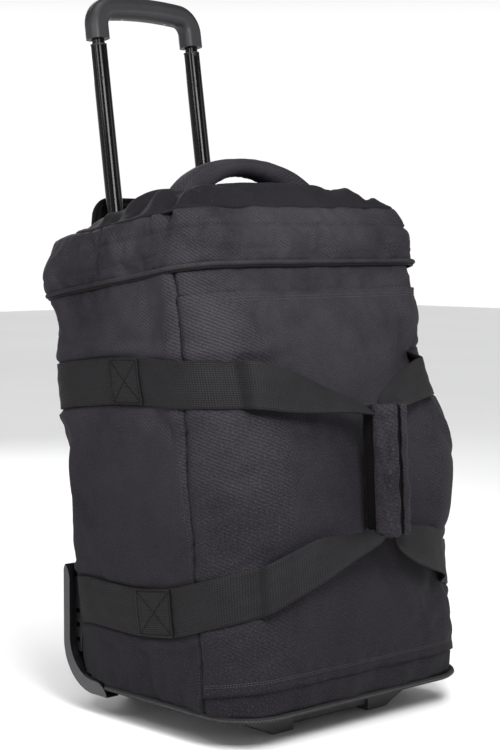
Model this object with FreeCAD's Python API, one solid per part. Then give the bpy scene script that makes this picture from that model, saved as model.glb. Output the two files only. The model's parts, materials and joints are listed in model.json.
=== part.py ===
"""Rolling duffel bag with a two-stage trolley handle, two wheels and a front stand.

Millimetres. The front (haul handles) faces -Y, the trolley is at +Y, +Z is up, the floor is z = 0.
The stand, wheels and corner guards are level. The soft body and the trolley lean back by LEAN about X:
shapes written in "leaned" coordinates (x, v, w) have v towards the back and w up along the trolley.
"""
import FreeCAD, Part
import math
import os

Vector = FreeCAD.Vector

# ---------------------------------------------------------------- driving dimensions
ORIGIN_Y = 113.7          # from the stand's front face back to the frame's origin
LEAN = 8.8                # body and trolley lean back, degrees

HALF_W = 178.0            # body half width
BACK_V = 229.0            # back face
FRONT_FOOT_V = -50.0      # front face at the bottom
FRONT_BELLY_V = -80.0     # front face at its fullest
FRONT_HEAD_V = -55.0      # front face at the piping
BELLY_W = 275.0           # height of the fullest point
FOOT_W = 15.0             # where the leaned body starts, under the base
PIPING_W = 490.0          # piping around the body
EDGE_W = 552.0            # upper edge of the top band
CROWN_W = 590.0           # highest point of the padded end
CORNER_R = 48.0           # body corners
EDGE_INSET = 13.0         # how far the band draws in by its upper edge
DOME_BACK_V = 174.0       # the padded end stops here, in front of the trolley ledge
CLOTH = 3.0               # padded fabric thickness
SEAM_V = -15.0            # side seams of the front panel
HEM_TOP_W = 460.0         # upper hem of the front panel
HEM_BOTTOM_W = 62.0       # lower hem of the front panel

BASE_Z = 28.0             # underside of the base plate
BASE_T = 4.5              # base plate thickness
BODY_Z = BASE_Z + BASE_T + 0.5

TUBE_X = 71.0             # half the distance between trolley tubes
TUBE_V = 193.0            # trolley tube plane
OUTER_R, OUTER_BORE = 11.5, 10.3
MID_R, MID_BORE = 9.5, 8.5
INNER_R, INNER_BORE = 7.5, 6.5
RUN = 0.05                # radial running clearance of the sliding fits
OUTER_FOOT_W, OUTER_TOP_W = 106.0, 546.0
MID_FOOT_W, MID_TOP_W = 501.0, 779.0
INNER_FOOT_W = 520.0
BEZEL_COLLAR_L = 18.0     # guide length in the outer tube; its foot stops the middle stage
MID_COLLAR_L = 43.0       # guide length in the middle tube; its foot stops the inner stage
MID_BUSH_L = 26.0
LOCK_PIN_R = 2.5
GRIP_FOOT_W = 787.0       # underside of the grip's legs
GRIP_TOP_W = 840.0
GRIP_SPLIT_W = 824.0      # joint between the grip's two shells
GRIP_LEG = 26.0           # leg width across
GRIP_BEND_R = 21.0        # bends between legs and bar, on their middle line
GRIP_DEPTH = 24.0
GRIP_WALL = 2.4
GRIP_CROWN_R = 500.0      # the bar is gently crowned
YOKE_W, YOKE_T = 822.5, 2.5
BUTTON_TRAVEL = 3.0

WHEEL_X = 92.0            # wheel centre from the middle
WHEEL_Y = 212.0           # axle, from the stand's front face
WHEEL_R = 31.0
WHEEL_W = 22.0
AXLE_R = 3.0
AXLE_HEAD_R, AXLE_HEAD_T = 5.0, 1.6
HOUSING_GAP = 3.5         # between tyre and wheel housing
HOUSING_WALL = 3.0

GUARD_X = 178.0           # outer face of the corner guards
FOOT_IN, FOOT_OUT = 57.0, 90.0
FOOT_DEPTH = 34.0

STRAP_W = 50.0            # haul webbing width
STRAP_T = 2.4
STRAP_SKIN = 1.8          # webbing stands off the cloth by its folds and the zip below it
WRAP_V = -118.0           # middle of the grip wrap
WRAP_W0, WRAP_W1 = 197.0, 332.0
WRAP_TILT = 5.9           # the wrap hangs more upright than the body, degrees
HANDLE_V = 52.0           # top grab handle

LEAN_SIN = math.sin(math.radians(LEAN))
LEAN_COS = math.cos(math.radians(LEAN))
LEANED = FreeCAD.Placement(Vector(0, -ORIGIN_Y, 0), FreeCAD.Rotation(Vector(1, 0, 0), -LEAN))
LEVEL = FreeCAD.Placement(Vector(0, -ORIGIN_Y, 0), FreeCAD.Rotation())
SIDES = (("left", -1), ("right", 1))
NODES = {}


# ---------------------------------------------------------------- helpers
def leaned(shape):
    """A shape written in leaned coordinates, put in the row frame."""
    placed = shape.copy()
    placed.Placement = LEANED.multiply(placed.Placement)
    return placed


def level(shape):
    """A shape written from the stand's front face, put in the row frame."""
    placed = shape.copy()
    placed.Placement = LEVEL.multiply(placed.Placement)
    return placed


def add(name, shape):
    NODES[name] = shape


def box(x0, x1, y0, y1, z0, z1):
    return Part.makeBox(x1 - x0, y1 - y0, z1 - z0, Vector(x0, y0, z0))


def rod(radius, start, end):
    """A round bar between two points."""
    start, end = Vector(*start), Vector(*end)
    along = end - start
    return Part.makeCylinder(radius, along.Length, start, along)


def ring(outer, bore, start, end):
    return rod(outer, start, end).cut(rod(bore, start, end))


def arc(a, b, c):
    return Part.Arc(Vector(*a), Vector(*b), Vector(*c)).toShape()


def line(a, b):
    return Part.LineSegment(Vector(*a), Vector(*b)).toShape()


def face(edges):
    return Part.Face(Part.Wire(edges))


def rounded_rect(x0, x1, y0, y1, z, radius):
    """A closed wire: a rectangle with round corners in a plane of constant z."""
    k = radius * (1 - math.sqrt(0.5))
    return Part.Wire([
        line((x0 + radius, y0, z), (x1 - radius, y0, z)),
        arc((x1 - radius, y0, z), (x1 - k, y0 + k, z), (x1, y0 + radius, z)),
        line((x1, y0 + radius, z), (x1, y1 - radius, z)),
        arc((x1, y1 - radius, z), (x1 - k, y1 - k, z), (x1 - radius, y1, z)),
        line((x1 - radius, y1, z), (x0 + radius, y1, z)),
        arc((x0 + radius, y1, z), (x0 + k, y1 - k, z), (x0, y1 - radius, z)),
        line((x0, y1 - radius, z), (x0, y0 + radius, z)),
        arc((x0, y0 + radius, z), (x0 + k, y0 + k, z), (x0 + radius, y0, z)),
    ])


def rounded_block(x0, x1, y0, y1, z0, z1, radius):
    return Part.Face(rounded_rect(x0, x1, y0, y1, z0, radius)).extrude(Vector(0, 0, z1 - z0))


def mirrored(shape, side):
    """Shapes are written for the right (+X) side; side -1 gives the left one."""
    if side > 0:
        return shape
    return shape.mirror(Vector(0, 0, 0), Vector(1, 0, 0))


def group(shapes):
    return Part.makeCompound(shapes)


def screw(radius, head_radius, point, direction, length, slot=True):
    """A countersunk screw: point is the middle of its head's face, direction runs into the work."""
    point, direction = Vector(*point), Vector(*direction)
    shank = Part.makeCylinder(radius, length, point, direction)
    head = Part.makeCone(head_radius, radius, head_radius - radius, point, direction)
    solid = shank.fuse(head).removeSplitter()
    if not slot:
        return solid
    recess = Part.makeBox(head_radius * 1.4, radius * 0.4, radius)
    recess.translate(Vector(-head_radius * 0.7, -radius * 0.2, -radius * 0.5))
    recess.Placement = FreeCAD.Placement(
        point, FreeCAD.Rotation(Vector(0, 0, 1), direction)).multiply(recess.Placement)
    return solid.cut(recess)


# ---------------------------------------------------------------- soft body
def trunk(inset):
    """The body below the piping, inset on its sides, as a solid."""
    x = HALF_W - inset
    front = [(0, FRONT_FOOT_V + inset, FOOT_W), (0, FRONT_BELLY_V + inset, BELLY_W),
             (0, FRONT_HEAD_V + inset, PIPING_W)]
    back = BACK_V - inset
    profile = face([
        arc(*front),
        line(front[2], (0, back, PIPING_W)),
        line((0, back, PIPING_W), (0, back, FOOT_W)),
        line((0, back, FOOT_W), front[0]),
    ])
    solid = profile.extrude(Vector(2 * x, 0, 0)).translated(Vector(-x, 0, 0))
    corners = [e for e in solid.Edges
               if abs(abs(e.CenterOfMass.x) - x) < 1e-3
               and abs(e.Vertexes[0].Z - e.Vertexes[-1].Z) > PIPING_W / 2]
    return solid.makeFillet(CORNER_R - inset, corners)


def band(inset):
    """The top band between the piping and the upper edge, as a solid."""
    low = rounded_rect(-HALF_W + inset, HALF_W - inset, FRONT_HEAD_V + inset, BACK_V - inset,
                       PIPING_W, CORNER_R - inset)
    high = rounded_rect(-HALF_W + EDGE_INSET + inset, HALF_W - EDGE_INSET - inset,
                        FRONT_HEAD_V + EDGE_INSET + inset, BACK_V - EDGE_INSET + 5 - inset,
                        EDGE_W, CORNER_R - inset)
    return Part.makeLoft([low, high], True, True)


def dome(inset):
    """The padded end above the upper edge: two vaults that cross, on the band's outline."""
    half = HALF_W - EDGE_INSET - inset
    front, back = FRONT_HEAD_V + EDGE_INSET + inset, DOME_BACK_V - inset
    crown = CROWN_W - inset
    middle = (front + back) / 2
    lengthwise = face([
        arc((0, front, EDGE_W), (0, middle, crown), (0, back, EDGE_W)),
        line((0, back, EDGE_W), (0, front, EDGE_W)),
    ]).extrude(Vector(2 * half, 0, 0)).translated(Vector(-half, 0, 0))
    shoulder = half - 60
    across = face([
        line((-half, front, EDGE_W), (half, front, EDGE_W)),
        arc((half, front, EDGE_W), (half - 18, front, crown - 14), (shoulder, front, crown - 1)),
        arc((shoulder, front, crown - 1), (0, front, crown + 3), (-shoulder, front, crown - 1)),
        arc((-shoulder, front, crown - 1), (-half + 18, front, crown - 14), (-half, front, EDGE_W)),
    ]).extrude(Vector(0, back - front, 0))
    outline = rounded_block(-half, half, front, BACK_V, EDGE_W, CROWN_W + 10, CORNER_R - inset)
    return lengthwise.common(across).common(outline)


def wheel_well(side, clearance):
    """Space that a wheel housing takes, from the stand's front face."""
    radius = WHEEL_R + HOUSING_GAP + HOUSING_WALL + clearance
    half = WHEEL_W / 2 + 1.5 + HOUSING_WALL + clearance
    arch = rod(radius, (WHEEL_X - half, WHEEL_Y, WHEEL_R), (WHEEL_X + half, WHEEL_Y, WHEEL_R))
    below = box(WHEEL_X - half, WHEEL_X + half, WHEEL_Y - radius, WHEEL_Y + radius, 0, WHEEL_R)
    head_r, head_x = AXLE_HEAD_R + clearance, half + AXLE_HEAD_T
    heads = box(WHEEL_X - head_x, WHEEL_X + head_x, WHEEL_Y - head_r, WHEEL_Y + head_r,
                0, WHEEL_R + head_r)
    return mirrored(arch.multiFuse([below, heads]), side)


def soft_panels():
    """Cuts the body's cloth shell along its seams into sewn panels."""
    above = box(-300, 300, -300, 500, BODY_Z, 1200)
    outside = leaned(trunk(0)).common(level(above))
    inside = leaned(trunk(CLOTH)).common(level(above).translated(Vector(0, 0, CLOTH)))
    shell = outside.cut(inside)
    for _, side in SIDES:
        shell = shell.cut(level(wheel_well(side, 0.3)))
        shell = shell.cut(level(corner_guard_envelope(side, 0.3)))
    floor = level(box(-300, 300, -300, 500, 0, BODY_Z + CLOTH))
    add("bottom_panel", shell.common(floor))
    walls = shell.cut(floor)
    front = leaned(box(-300, 300, -200, SEAM_V, -50, PIPING_W))
    hems = [("front_lower_strip", -50, HEM_BOTTOM_W), ("front_panel", HEM_BOTTOM_W, HEM_TOP_W),
            ("front_upper_strip", HEM_TOP_W, PIPING_W)]
    for name, low, high in hems:
        add(name, walls.common(leaned(box(-300, 300, -200, SEAM_V, low, high))))
    rest = walls.cut(front)
    flat = HALF_W - CORNER_R
    behind = leaned(box(-flat, flat, BACK_V - CORNER_R, 300, -50, PIPING_W))
    add("back_panel", rest.common(behind))
    rest = rest.cut(behind)
    for name, side in SIDES:
        half = mirrored(box(0, 300, -300, 500, -50, 700), side)
        add(f"side_panel_{name}", rest.common(level(half)))


def top_end():
    """The band over the piping, the padded end and the ledge that the trolley comes out of."""
    add("top_band", leaned(band(0).cut(band(CLOTH)).cut(ledge_space())))
    add("top_panel", leaned(dome(0).cut(dome(CLOTH))))
    ledge = band(0).common(ledge_space()).cut(bezel_block(0.0))
    add("rear_ledge", leaned(ledge))


def ledge_space():
    """The top few millimetres of the band behind the padded end."""
    return box(-300, 300, DOME_BACK_V, 300, EDGE_W - CLOTH, EDGE_W + 1)


def piping():
    """The corded seam around the body, and the bound seam around its base."""
    bead_r = 2.4
    path = rounded_rect(-HALF_W - 0.6, HALF_W + 0.6, FRONT_HEAD_V - 0.6, BACK_V + 0.6,
                        PIPING_W, CORNER_R + 0.6)
    start = Vector(-HALF_W - 0.6 + CORNER_R + 0.6, FRONT_HEAD_V - 0.6, PIPING_W)
    section = Part.Wire(Part.makeCircle(bead_r, start, Vector(1, 0, 0)))
    bead = path.makePipeShell([section], True, False)
    solids = trunk(0).fuse(band(0))
    add("end_piping", leaned(bead.cut(solids)))


def base_binding():
    """The binding tape around the base seam: it covers the body's lower edge."""
    z0, z1, proud = BODY_Z - 1.5, BODY_Z + 3.5, 1.6
    slope = LEAN_SIN / LEAN_COS

    def at_base(v):
        return v / LEAN_COS + BODY_Z * slope

    front, back = at_base(FRONT_FOOT_V - 1.3), at_base(BACK_V)
    tape = rounded_block(-HALF_W - proud, HALF_W + proud, front - proud, back + proud, z0, z1,
                         CORNER_R)
    core = rounded_block(-HALF_W + 4, HALF_W - 4, front + 4, back - 4, z0, z1, CORNER_R - 4)
    tape = level(tape.cut(core)).cut(leaned(trunk(0)).common(level(box(-300, 300, -300, 500, BODY_Z, 90))))
    for _, side in SIDES:
        tape = tape.cut(level(wheel_well(side, 0.3)))
        tape = tape.cut(level(corner_guard_envelope(side, 0.3)))
    add("base_binding", group([s for s in tape.Solids if s.Volume > 200]))


def hood():
    """The flap that folds over the stowed grip, standing open behind the tubes."""
    half, top, radius, v = 88.0, 604.0, 30.0, BACK_V - 11
    k = radius * (1 - math.sqrt(0.5))
    edges = [
        line((-half, v, EDGE_W), (half, v, EDGE_W)),
        line((half, v, EDGE_W), (half, v, top - radius)),
        arc((half, v, top - radius), (half - k, v, top - k), (half - radius, v, top)),
        line((half - radius, v, top), (-half + radius, v, top)),
        arc((-half + radius, v, top), (-half + k, v, top - k), (-half, v, top - radius)),
        line((-half, v, top - radius), (-half, v, EDGE_W)),
    ]
    flap = face(edges).extrude(Vector(0, CLOTH, 0))
    add("trolley_hood", leaned(flap))
    middle = Vector(0, CLOTH / 2, 0)
    path = Part.Wire([e.translated(middle) for e in edges[1:]])
    section = Part.Wire(Part.makeCircle(2.6, Vector(half, v + CLOTH / 2, EDGE_W), Vector(0, 0, 1)))
    rim = path.makePipeShell([section], True, False)
    add("hood_binding", leaned(rim.cut(flap)))


def back_board():
    """The stiff sheet between the packing space and the trolley tubes."""
    add("back_board", leaned(rounded_block(-150, 150, 168, 171, 86, 540, 1.4)))


# ---------------------------------------------------------------- handles and webbing
def grab_handle():
    """The padded arch on top, trimmed to lie on the padded end."""
    half, gap = 112.0, 54.0
    v0, v1 = HANDLE_V - 17, HANDLE_V + 17
    low = CROWN_W - 14
    profile = face([
        arc((-half, v0, low), (0, v0, CROWN_W + 32), (half, v0, low)),
        line((half, v0, low), (gap, v0, low)),
        arc((gap, v0, low), (0, v0, CROWN_W + 15), (-gap, v0, low)),
        line((-gap, v0, low), (-half, v0, low)),
    ])
    arch = profile.extrude(Vector(0, v1 - v0, 0))
    rails = [e for e in arch.Edges if abs(e.CenterOfMass.z - low) > 6
             and abs(e.Vertexes[0].Y - e.Vertexes[-1].Y) < 1e-6]
    arch = arch.makeFillet(6.0, rails)
    seat = dome(-0.2)
    add("grab_handle", leaned(arch.cut(seat)))


def webbing_section(centre, along, up, width, thick):
    """A rectangle across a strap: along is its direction, up its width direction."""
    along, up = Vector(*along).normalize(), Vector(*up).normalize()
    through = along.cross(up).normalize()
    up = through.cross(along).normalize()
    centre = Vector(*centre)
    corners = [centre + up * (a * width / 2) + through * (b * thick / 2)
               for a, b in ((1, 1), (1, -1), (-1, -1), (-1, 1), (1, 1))]
    return Part.makePolygon(corners)


def front_v(w):
    """Front face of the body at height w."""
    curve = Part.Arc(Vector(0, FRONT_FOOT_V, FOOT_W), Vector(0, FRONT_BELLY_V, BELLY_W),
                     Vector(0, FRONT_HEAD_V, PIPING_W)).toShape().Curve
    centre = curve.Center
    return centre.y - math.sqrt(curve.Radius ** 2 - (w - centre.z) ** 2)


def strap_leg(side_w, corner_w, wrap_w, turns):
    """One leg of a haul loop on the right: sewn along the side, round the corner, free to the wrap.

    turns are the stations around the body's back corner, in degrees from the side.
    """
    skin = STRAP_SKIN + STRAP_T / 2
    x_side = HALF_W + skin
    arm = CORNER_R + skin
    foremost = min(front_v(corner_w - STRAP_W / 2), front_v(corner_w + STRAP_W / 2))
    back_c, front_c = BACK_V - CORNER_R, foremost + CORNER_R
    flat = HALF_W - CORNER_R
    stations = []
    for angle in turns:
        a = math.radians(angle)
        stations.append((flat + arm * math.cos(a), back_c + arm * math.sin(a), side_w,
                         (math.sin(a), -math.cos(a), 0)))
    stations.append((x_side, 18, side_w * 0.7 + corner_w * 0.3, (0, -1, 0)))
    for angle in (0, 30, 60, 85):
        a = math.radians(angle)
        stations.append((flat + arm * math.cos(a), front_c - arm * math.sin(a), corner_w,
                         (-math.sin(a), -math.cos(a), 0)))
    wrap_v = wrap_middle(wrap_w)
    free = (-1, (wrap_v - foremost) / flat, 0)
    sections = [webbing_section(s[:3], s[3], (0, 0, 1), STRAP_W, STRAP_T) for s in stations]
    mid_x = 60.0
    mid_v = foremost + (wrap_v - foremost) * (flat - mid_x) / flat
    sections.append(webbing_section((mid_x, mid_v, corner_w * 0.45 + wrap_w * 0.55), free,
                                    (0, 0, 1), 42, STRAP_T + 0.8))
    sections.append(webbing_section((10, wrap_v, wrap_w), (-1, 0, 0), (0, 0, 1), 16, 6))
    return [Part.makeLoft([a, b], True, True) for a, b in zip(sections, sections[1:])]


def haul_loops():
    """Two webbing loops; each runs from its side through the wrap and back to its side."""
    for name, side in SIDES:
        upper = strap_leg(388.0, 372.0, WRAP_W1 - 8, (90, 60, 30, 0))
        lower = strap_leg(152.0, 152.0, WRAP_W0 + 8, (12, 0))
        core = box(1.5, 12.5, WRAP_V - 3, WRAP_V + 3, WRAP_W0, WRAP_W1)
        core.rotate(Vector(0, WRAP_V, (WRAP_W0 + WRAP_W1) / 2), Vector(1, 0, 0), WRAP_TILT)
        loop = core.multiFuse(upper + lower).removeSplitter()
        add(f"haul_loop_{name}", leaned(mirrored(loop, side)))


def wrap_middle(w):
    """Middle line of the tilted wrap."""
    return WRAP_V - (w - (WRAP_W0 + WRAP_W1) / 2) * math.tan(math.radians(WRAP_TILT))


def grip_wrap():
    """The padded wrap that holds both loops together, and its closing strip."""
    band_w, half_x, half_v = 18.0, 16.0, 19.0
    outer = rounded_block(-half_x, half_x, WRAP_V - half_v, WRAP_V + half_v,
                          WRAP_W0 + band_w, WRAP_W1 - band_w, 12)
    hole = rounded_block(-13.2, 13.2, WRAP_V - 3.8, WRAP_V + 3.8, WRAP_W0 - 1, WRAP_W1 + 1, 1)
    ends = [rounded_block(-half_x - 1, half_x + 1, WRAP_V - half_v - 1, WRAP_V + half_v + 1,
                          low, low + band_w, 12) for low in (WRAP_W0, WRAP_W1 - band_w)]
    wrap = outer.multiFuse(ends).cut(hole)
    for low in (WRAP_W0, WRAP_W1 - band_w - 2):
        wrap = wrap.cut(box(-20, 20, WRAP_V - 6.8, WRAP_V + 6.8, low - 1, low + band_w + 3))
    strip = box(half_x + 0.2, half_x + 2, WRAP_V - 10, WRAP_V + 10, WRAP_W0 + 22, WRAP_W1 - 22)
    pivot = Vector(0, WRAP_V, (WRAP_W0 + WRAP_W1) / 2)
    for name, solid in (("grip_wrap", wrap.removeSplitter()), ("wrap_closing_strip", strip)):
        solid.rotate(pivot, Vector(1, 0, 0), WRAP_TILT)
        add(name, leaned(solid))


def side_zip():
    """The zip chain down the front panel's right seam, its slider and its pull tab."""
    x, v = HALF_W, SEAM_V + 9
    add("zip_chain", leaned(box(x, x + 1.6, v - 4, v + 4, 85, 450)))
    w = 188.0
    plate = rounded_block(x + 1.9, x + 4.3, v - 5, v + 5, w - 7, w + 7, 1.1)
    bridge = box(x + 4.3, x + 8.1, v - 1.2, v + 1.2, w - 4.2, w + 4.2)
    eye = rod(0.85, (x + 6.2, v - 2, w), (x + 6.2, v + 2, w))
    add("zip_slider", leaned(plate.fuse(bridge).cut(eye).removeSplitter()))
    pin = rod(0.8, (x + 6.2, v - 3.6, w), (x + 6.2, v + 3.6, w))
    arms = [box(x + 5.4, x + 7.0, v + a, v + b, w - 14, w) for a, b in ((-3.6, -1.8), (1.8, 3.6))]
    pad = rounded_block(x + 5.0, x + 7.4, v - 5, v + 5, w - 38, w - 12, 1.1)
    add("zip_puller", leaned(pin.multiFuse(arms + [pad]).removeSplitter()))


# ---------------------------------------------------------------- base, stand, guards
def base_screws(slot=True):
    """Screws down through the base plate into the feet, guards and wheel housings."""
    spots = [(FOOT_OUT + 28, 8), (FOOT_OUT + 28, 26), (GUARD_X - 50, 174), (GUARD_X - 50, 190),
             (WHEEL_X - 8, WHEEL_Y - 44), (WHEEL_X + 8, WHEEL_Y - 44)]
    return [screw(1.8, 3.6, (side * x, y, BASE_Z + BASE_T), (0, 0, -1), 8.3, slot)
            for _, side in SIDES for x, y in spots]


def with_screw_holes(shape):
    return shape.cut(group(base_screws(slot=False)))


def base_plate():
    """The moulded tray under the bag, with openings for the wheel housings."""
    tray = rounded_block(-160, 160, -30, 228, BASE_Z, BASE_Z + BASE_T, 34)
    for _, side in SIDES:
        tray = tray.cut(wheel_well(side, 0.2))
    ribs = [box(-120, 120, y, y + 3, BASE_Z - 3, BASE_Z) for y in (70, 110, 150)]
    ribs += [box(x, x + 3, 45, 165, BASE_Z - 3, BASE_Z) for x in (-61.5, -1.5, 58.5)]
    tray = tray.multiFuse(ribs)
    add("base_plate", level(with_screw_holes(tray).removeSplitter()))


def stand():
    """Two moulded front feet and the bar between them."""
    slope_x, slope_z, top_x = 131.0, 20.0, 140.0
    for name, side in SIDES:
        outline = face([
            line((FOOT_IN, 0, 0), (FOOT_OUT - 6, 0, 0)),
            arc((FOOT_OUT - 6, 0, 0), (FOOT_OUT - 2.5, 0, 0.7), (FOOT_OUT + 0.5, 0, 2.4)),
            line((FOOT_OUT + 0.5, 0, 2.4), (slope_x, 0, slope_z)),
            line((slope_x, 0, slope_z), (top_x, 0, BASE_Z)),
            line((top_x, 0, BASE_Z), (FOOT_IN, 0, BASE_Z)),
            line((FOOT_IN, 0, BASE_Z), (FOOT_IN, 0, 0)),
        ])
        foot = outline.extrude(Vector(0, FOOT_DEPTH, 0))
        rounded = [e for e in foot.Edges if abs(e.Vertexes[0].Y - e.Vertexes[-1].Y) < 1e-6
                   and abs(e.CenterOfMass.y) < 1e-6 and e.CenterOfMass.z < BASE_Z - 1
                   and abs(e.CenterOfMass.x - FOOT_IN) > 1]
        foot = foot.makeFillet(1.2, rounded)
        pocket = box(FOOT_IN + 4, FOOT_OUT + 8, 6, FOOT_DEPTH - 6, 10, BASE_Z)
        socket = box(FOOT_IN - 1, FOOT_IN + 3, 4, 26, 5, 13)
        foot = foot.cut(pocket).cut(socket)
        add(f"foot_{name}", level(with_screw_holes(mirrored(foot, side))))
    bar = box(-FOOT_IN - 3, FOOT_IN + 3, 4, 26, 5, 13)
    long_edges = [e for e in bar.Edges if abs(e.Vertexes[0].X - e.Vertexes[-1].X) > 50]
    add("foot_bar", level(bar.makeFillet(2.5, long_edges)))


def guard_outline():
    """The J of a corner guard in the side plane: straight up the back, round under the corner."""
    return face([
        line((0, 240, 150), (0, 240, 76)),
        arc((0, 240, 76), (0, 225, 40), (0, 190, 24)),
        line((0, 190, 24), (0, 164, 24)),
        arc((0, 164, 24), (0, 171, 33.5), (0, 184, 38)),
        arc((0, 184, 38), (0, 216, 50), (0, 229.5, 82)),
        line((0, 229.5, 82), (0, 229.5, 140)),
        arc((0, 229.5, 140), (0, 231.5, 152), (0, 237, 160)),
        arc((0, 237, 160), (0, 239.5, 155.5), (0, 240, 150)),
    ])


def guard_solid(side):
    """Outer rim, recessed web with three slots, and a foot under the base plate."""
    rim = guard_outline().extrude(Vector(16, 0, 0)).translated(Vector(GUARD_X - 16, 0, 0))
    web = box(GUARD_X - 12, GUARD_X - 8, 217, 231, 64, 146)
    for z in (77, 93.5, 109):
        web = web.cut(box(GUARD_X - 20, GUARD_X, 221.5, 228.0, z - 2.6, z + 2.6))
    tongue = box(GUARD_X - 58, GUARD_X - 10, 168, 196, 24, BASE_Z)
    return mirrored(rim.fuse(web).fuse(tongue).removeSplitter(), side)


def corner_guard_envelope(side, clearance):
    """The guard's shape grown by a clearance, with its web and slots filled."""
    grown = guard_outline().makeOffset2D(clearance, 2) if clearance else guard_outline()
    rim = Part.Face(grown).extrude(Vector(17, 0, 0)) if grown.ShapeType == "Wire" \
        else grown.extrude(Vector(17, 0, 0))
    rim = rim.translated(Vector(GUARD_X - 16 - clearance, 0, 0))
    web = box(GUARD_X - 12 - clearance, GUARD_X + 1, 217 - clearance, 231, 64 - clearance, 146)
    return mirrored(rim.fuse(web), side)


def corner_guards():
    for name, side in SIDES:
        add(f"corner_guard_{name}", level(with_screw_holes(guard_solid(side))))
    add("base_screws", level(group(base_screws())))


# ---------------------------------------------------------------- wheels
def wheels():
    """Each wheel: tyre on a spoked hub with two bushes, on an axle held by its housing."""
    half = WHEEL_W / 2
    for name, side in SIDES:
        x = WHEEL_X
        a, b = (x - half, WHEEL_Y, WHEEL_R), (x + half, WHEEL_Y, WHEEL_R)
        tyre = ring(WHEEL_R, 22.0, a, b)
        rims = [e for e in tyre.Edges if e.Curve.TypeId == "Part::GeomCircle"
                and abs(e.Curve.Radius - WHEEL_R) < 1e-3]
        tyre = tyre.makeFillet(4.0, rims)
        add(f"tyre_{name}", level(mirrored(tyre, side)))
        hub = ring(22.0, 6.0, (x - half + 1, WHEEL_Y, WHEEL_R), (x + half - 1, WHEEL_Y, WHEEL_R))
        for turn in range(5):
            angle = 2 * math.pi * turn / 5
            y, z = WHEEL_Y + 14 * math.cos(angle), WHEEL_R + 14 * math.sin(angle)
            for inner, outer in ((x - half, x - 2.5), (x + 2.5, x + half)):
                hub = hub.cut(rod(4.2, (inner, y, z), (outer, y, z)))
        add(f"wheel_hub_{name}", level(mirrored(hub, side)))
        bushes = [ring(6.0, AXLE_R + RUN, (p, WHEEL_Y, WHEEL_R), (q, WHEEL_Y, WHEEL_R))
                  for p, q in ((x - half + 0.6, x - 3), (x + 3, x + half - 0.6))]
        add(f"wheel_bushes_{name}", level(mirrored(group(bushes), side)))
        reach = half + 1.5 + HOUSING_WALL
        axle = rod(AXLE_R, (x - reach, WHEEL_Y, WHEEL_R), (x + reach, WHEEL_Y, WHEEL_R))
        heads = [rod(AXLE_HEAD_R, (x + s * reach, WHEEL_Y, WHEEL_R),
                     (x + s * (reach + AXLE_HEAD_T), WHEEL_Y, WHEEL_R)) for s in (-1, 1)]
        add(f"axle_{name}", level(mirrored(axle.multiFuse(heads).removeSplitter(), side)))
        add(f"wheel_housing_{name}", level(with_screw_holes(mirrored(wheel_housing(), side))))


def wheel_housing():
    """An arch over the wheel with two cheeks that hold the axle, and a lug under the base plate."""
    reach = WHEEL_W / 2 + 1.5
    outer_r = WHEEL_R + HOUSING_GAP + HOUSING_WALL
    x0, x1 = WHEEL_X - reach - HOUSING_WALL, WHEEL_X + reach + HOUSING_WALL
    body = rod(outer_r, (x0, WHEEL_Y, WHEEL_R), (x1, WHEEL_Y, WHEEL_R))
    body = body.common(box(x0, x1, WHEEL_Y - outer_r, WHEEL_Y + 25, 16, WHEEL_R + outer_r))
    cavity_r = WHEEL_R + HOUSING_GAP
    cavity = rod(cavity_r, (WHEEL_X - reach, WHEEL_Y, WHEEL_R), (WHEEL_X + reach, WHEEL_Y, WHEEL_R))
    cavity = cavity.fuse(box(WHEEL_X - reach, WHEEL_X + reach, WHEEL_Y - cavity_r,
                             WHEEL_Y + cavity_r, 0, WHEEL_R))
    lug = box(WHEEL_X - 16, WHEEL_X + 16, WHEEL_Y - 52, WHEEL_Y - outer_r + 4, BASE_Z - 4, BASE_Z)
    housing = body.fuse(lug).cut(cavity)
    housing = housing.cut(rod(AXLE_R, (x0 - 1, WHEEL_Y, WHEEL_R), (x1 + 1, WHEEL_Y, WHEEL_R)))
    return housing.removeSplitter()


# ---------------------------------------------------------------- trolley
def bezel_block(clearance):
    """Outline of the bezel set into the rear ledge."""
    return rounded_block(-90 - clearance, 90 + clearance, TUBE_V - 15 - clearance,
                         TUBE_V + 15 + clearance, EDGE_W - 6, EDGE_W, 12)


def trolley_fixed():
    """Outer tubes, the bracket at their feet and the bezel with its guide collars."""
    for name, side in SIDES:
        x = side * TUBE_X
        add(f"outer_tube_{name}", leaned(
            ring(OUTER_R, OUTER_BORE, (x, TUBE_V, OUTER_FOOT_W), (x, TUBE_V, OUTER_TOP_W))))
    foot = box(-90, 90, TUBE_V - 14, TUBE_V + 14, OUTER_FOOT_W - 5, OUTER_FOOT_W)
    stem = box(-40, 40, TUBE_V - 7, TUBE_V + 7, OUTER_FOOT_W - 60, OUTER_FOOT_W - 5)
    bracket = foot.fuse(stem)
    for _, side in SIDES:
        x = side * TUBE_X
        bracket = bracket.fuse(ring(OUTER_R + 2.5, OUTER_R, (x, TUBE_V, OUTER_FOOT_W),
                                    (x, TUBE_V, OUTER_FOOT_W + 22)))
    bracket = leaned(bracket).common(level(box(-200, 200, 0, 400, BODY_Z + CLOTH + 0.2, 400)))
    for _, side in SIDES:
        bracket = bracket.cut(level(wheel_well(side, 0.3)))
    add("tube_bracket", bracket.removeSplitter())
    bezel = bezel_block(0.0)
    for _, side in SIDES:
        x = side * TUBE_X
        collar = rod(OUTER_BORE, (x, TUBE_V, OUTER_TOP_W - BEZEL_COLLAR_L), (x, TUBE_V, OUTER_TOP_W))
        bezel = bezel.fuse(collar)
        bezel = bezel.cut(rod(MID_R + RUN, (x, TUBE_V, OUTER_TOP_W - 30), (x, TUBE_V, EDGE_W + 5)))
    add("trolley_bezel", leaned(bezel.removeSplitter()))


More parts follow.
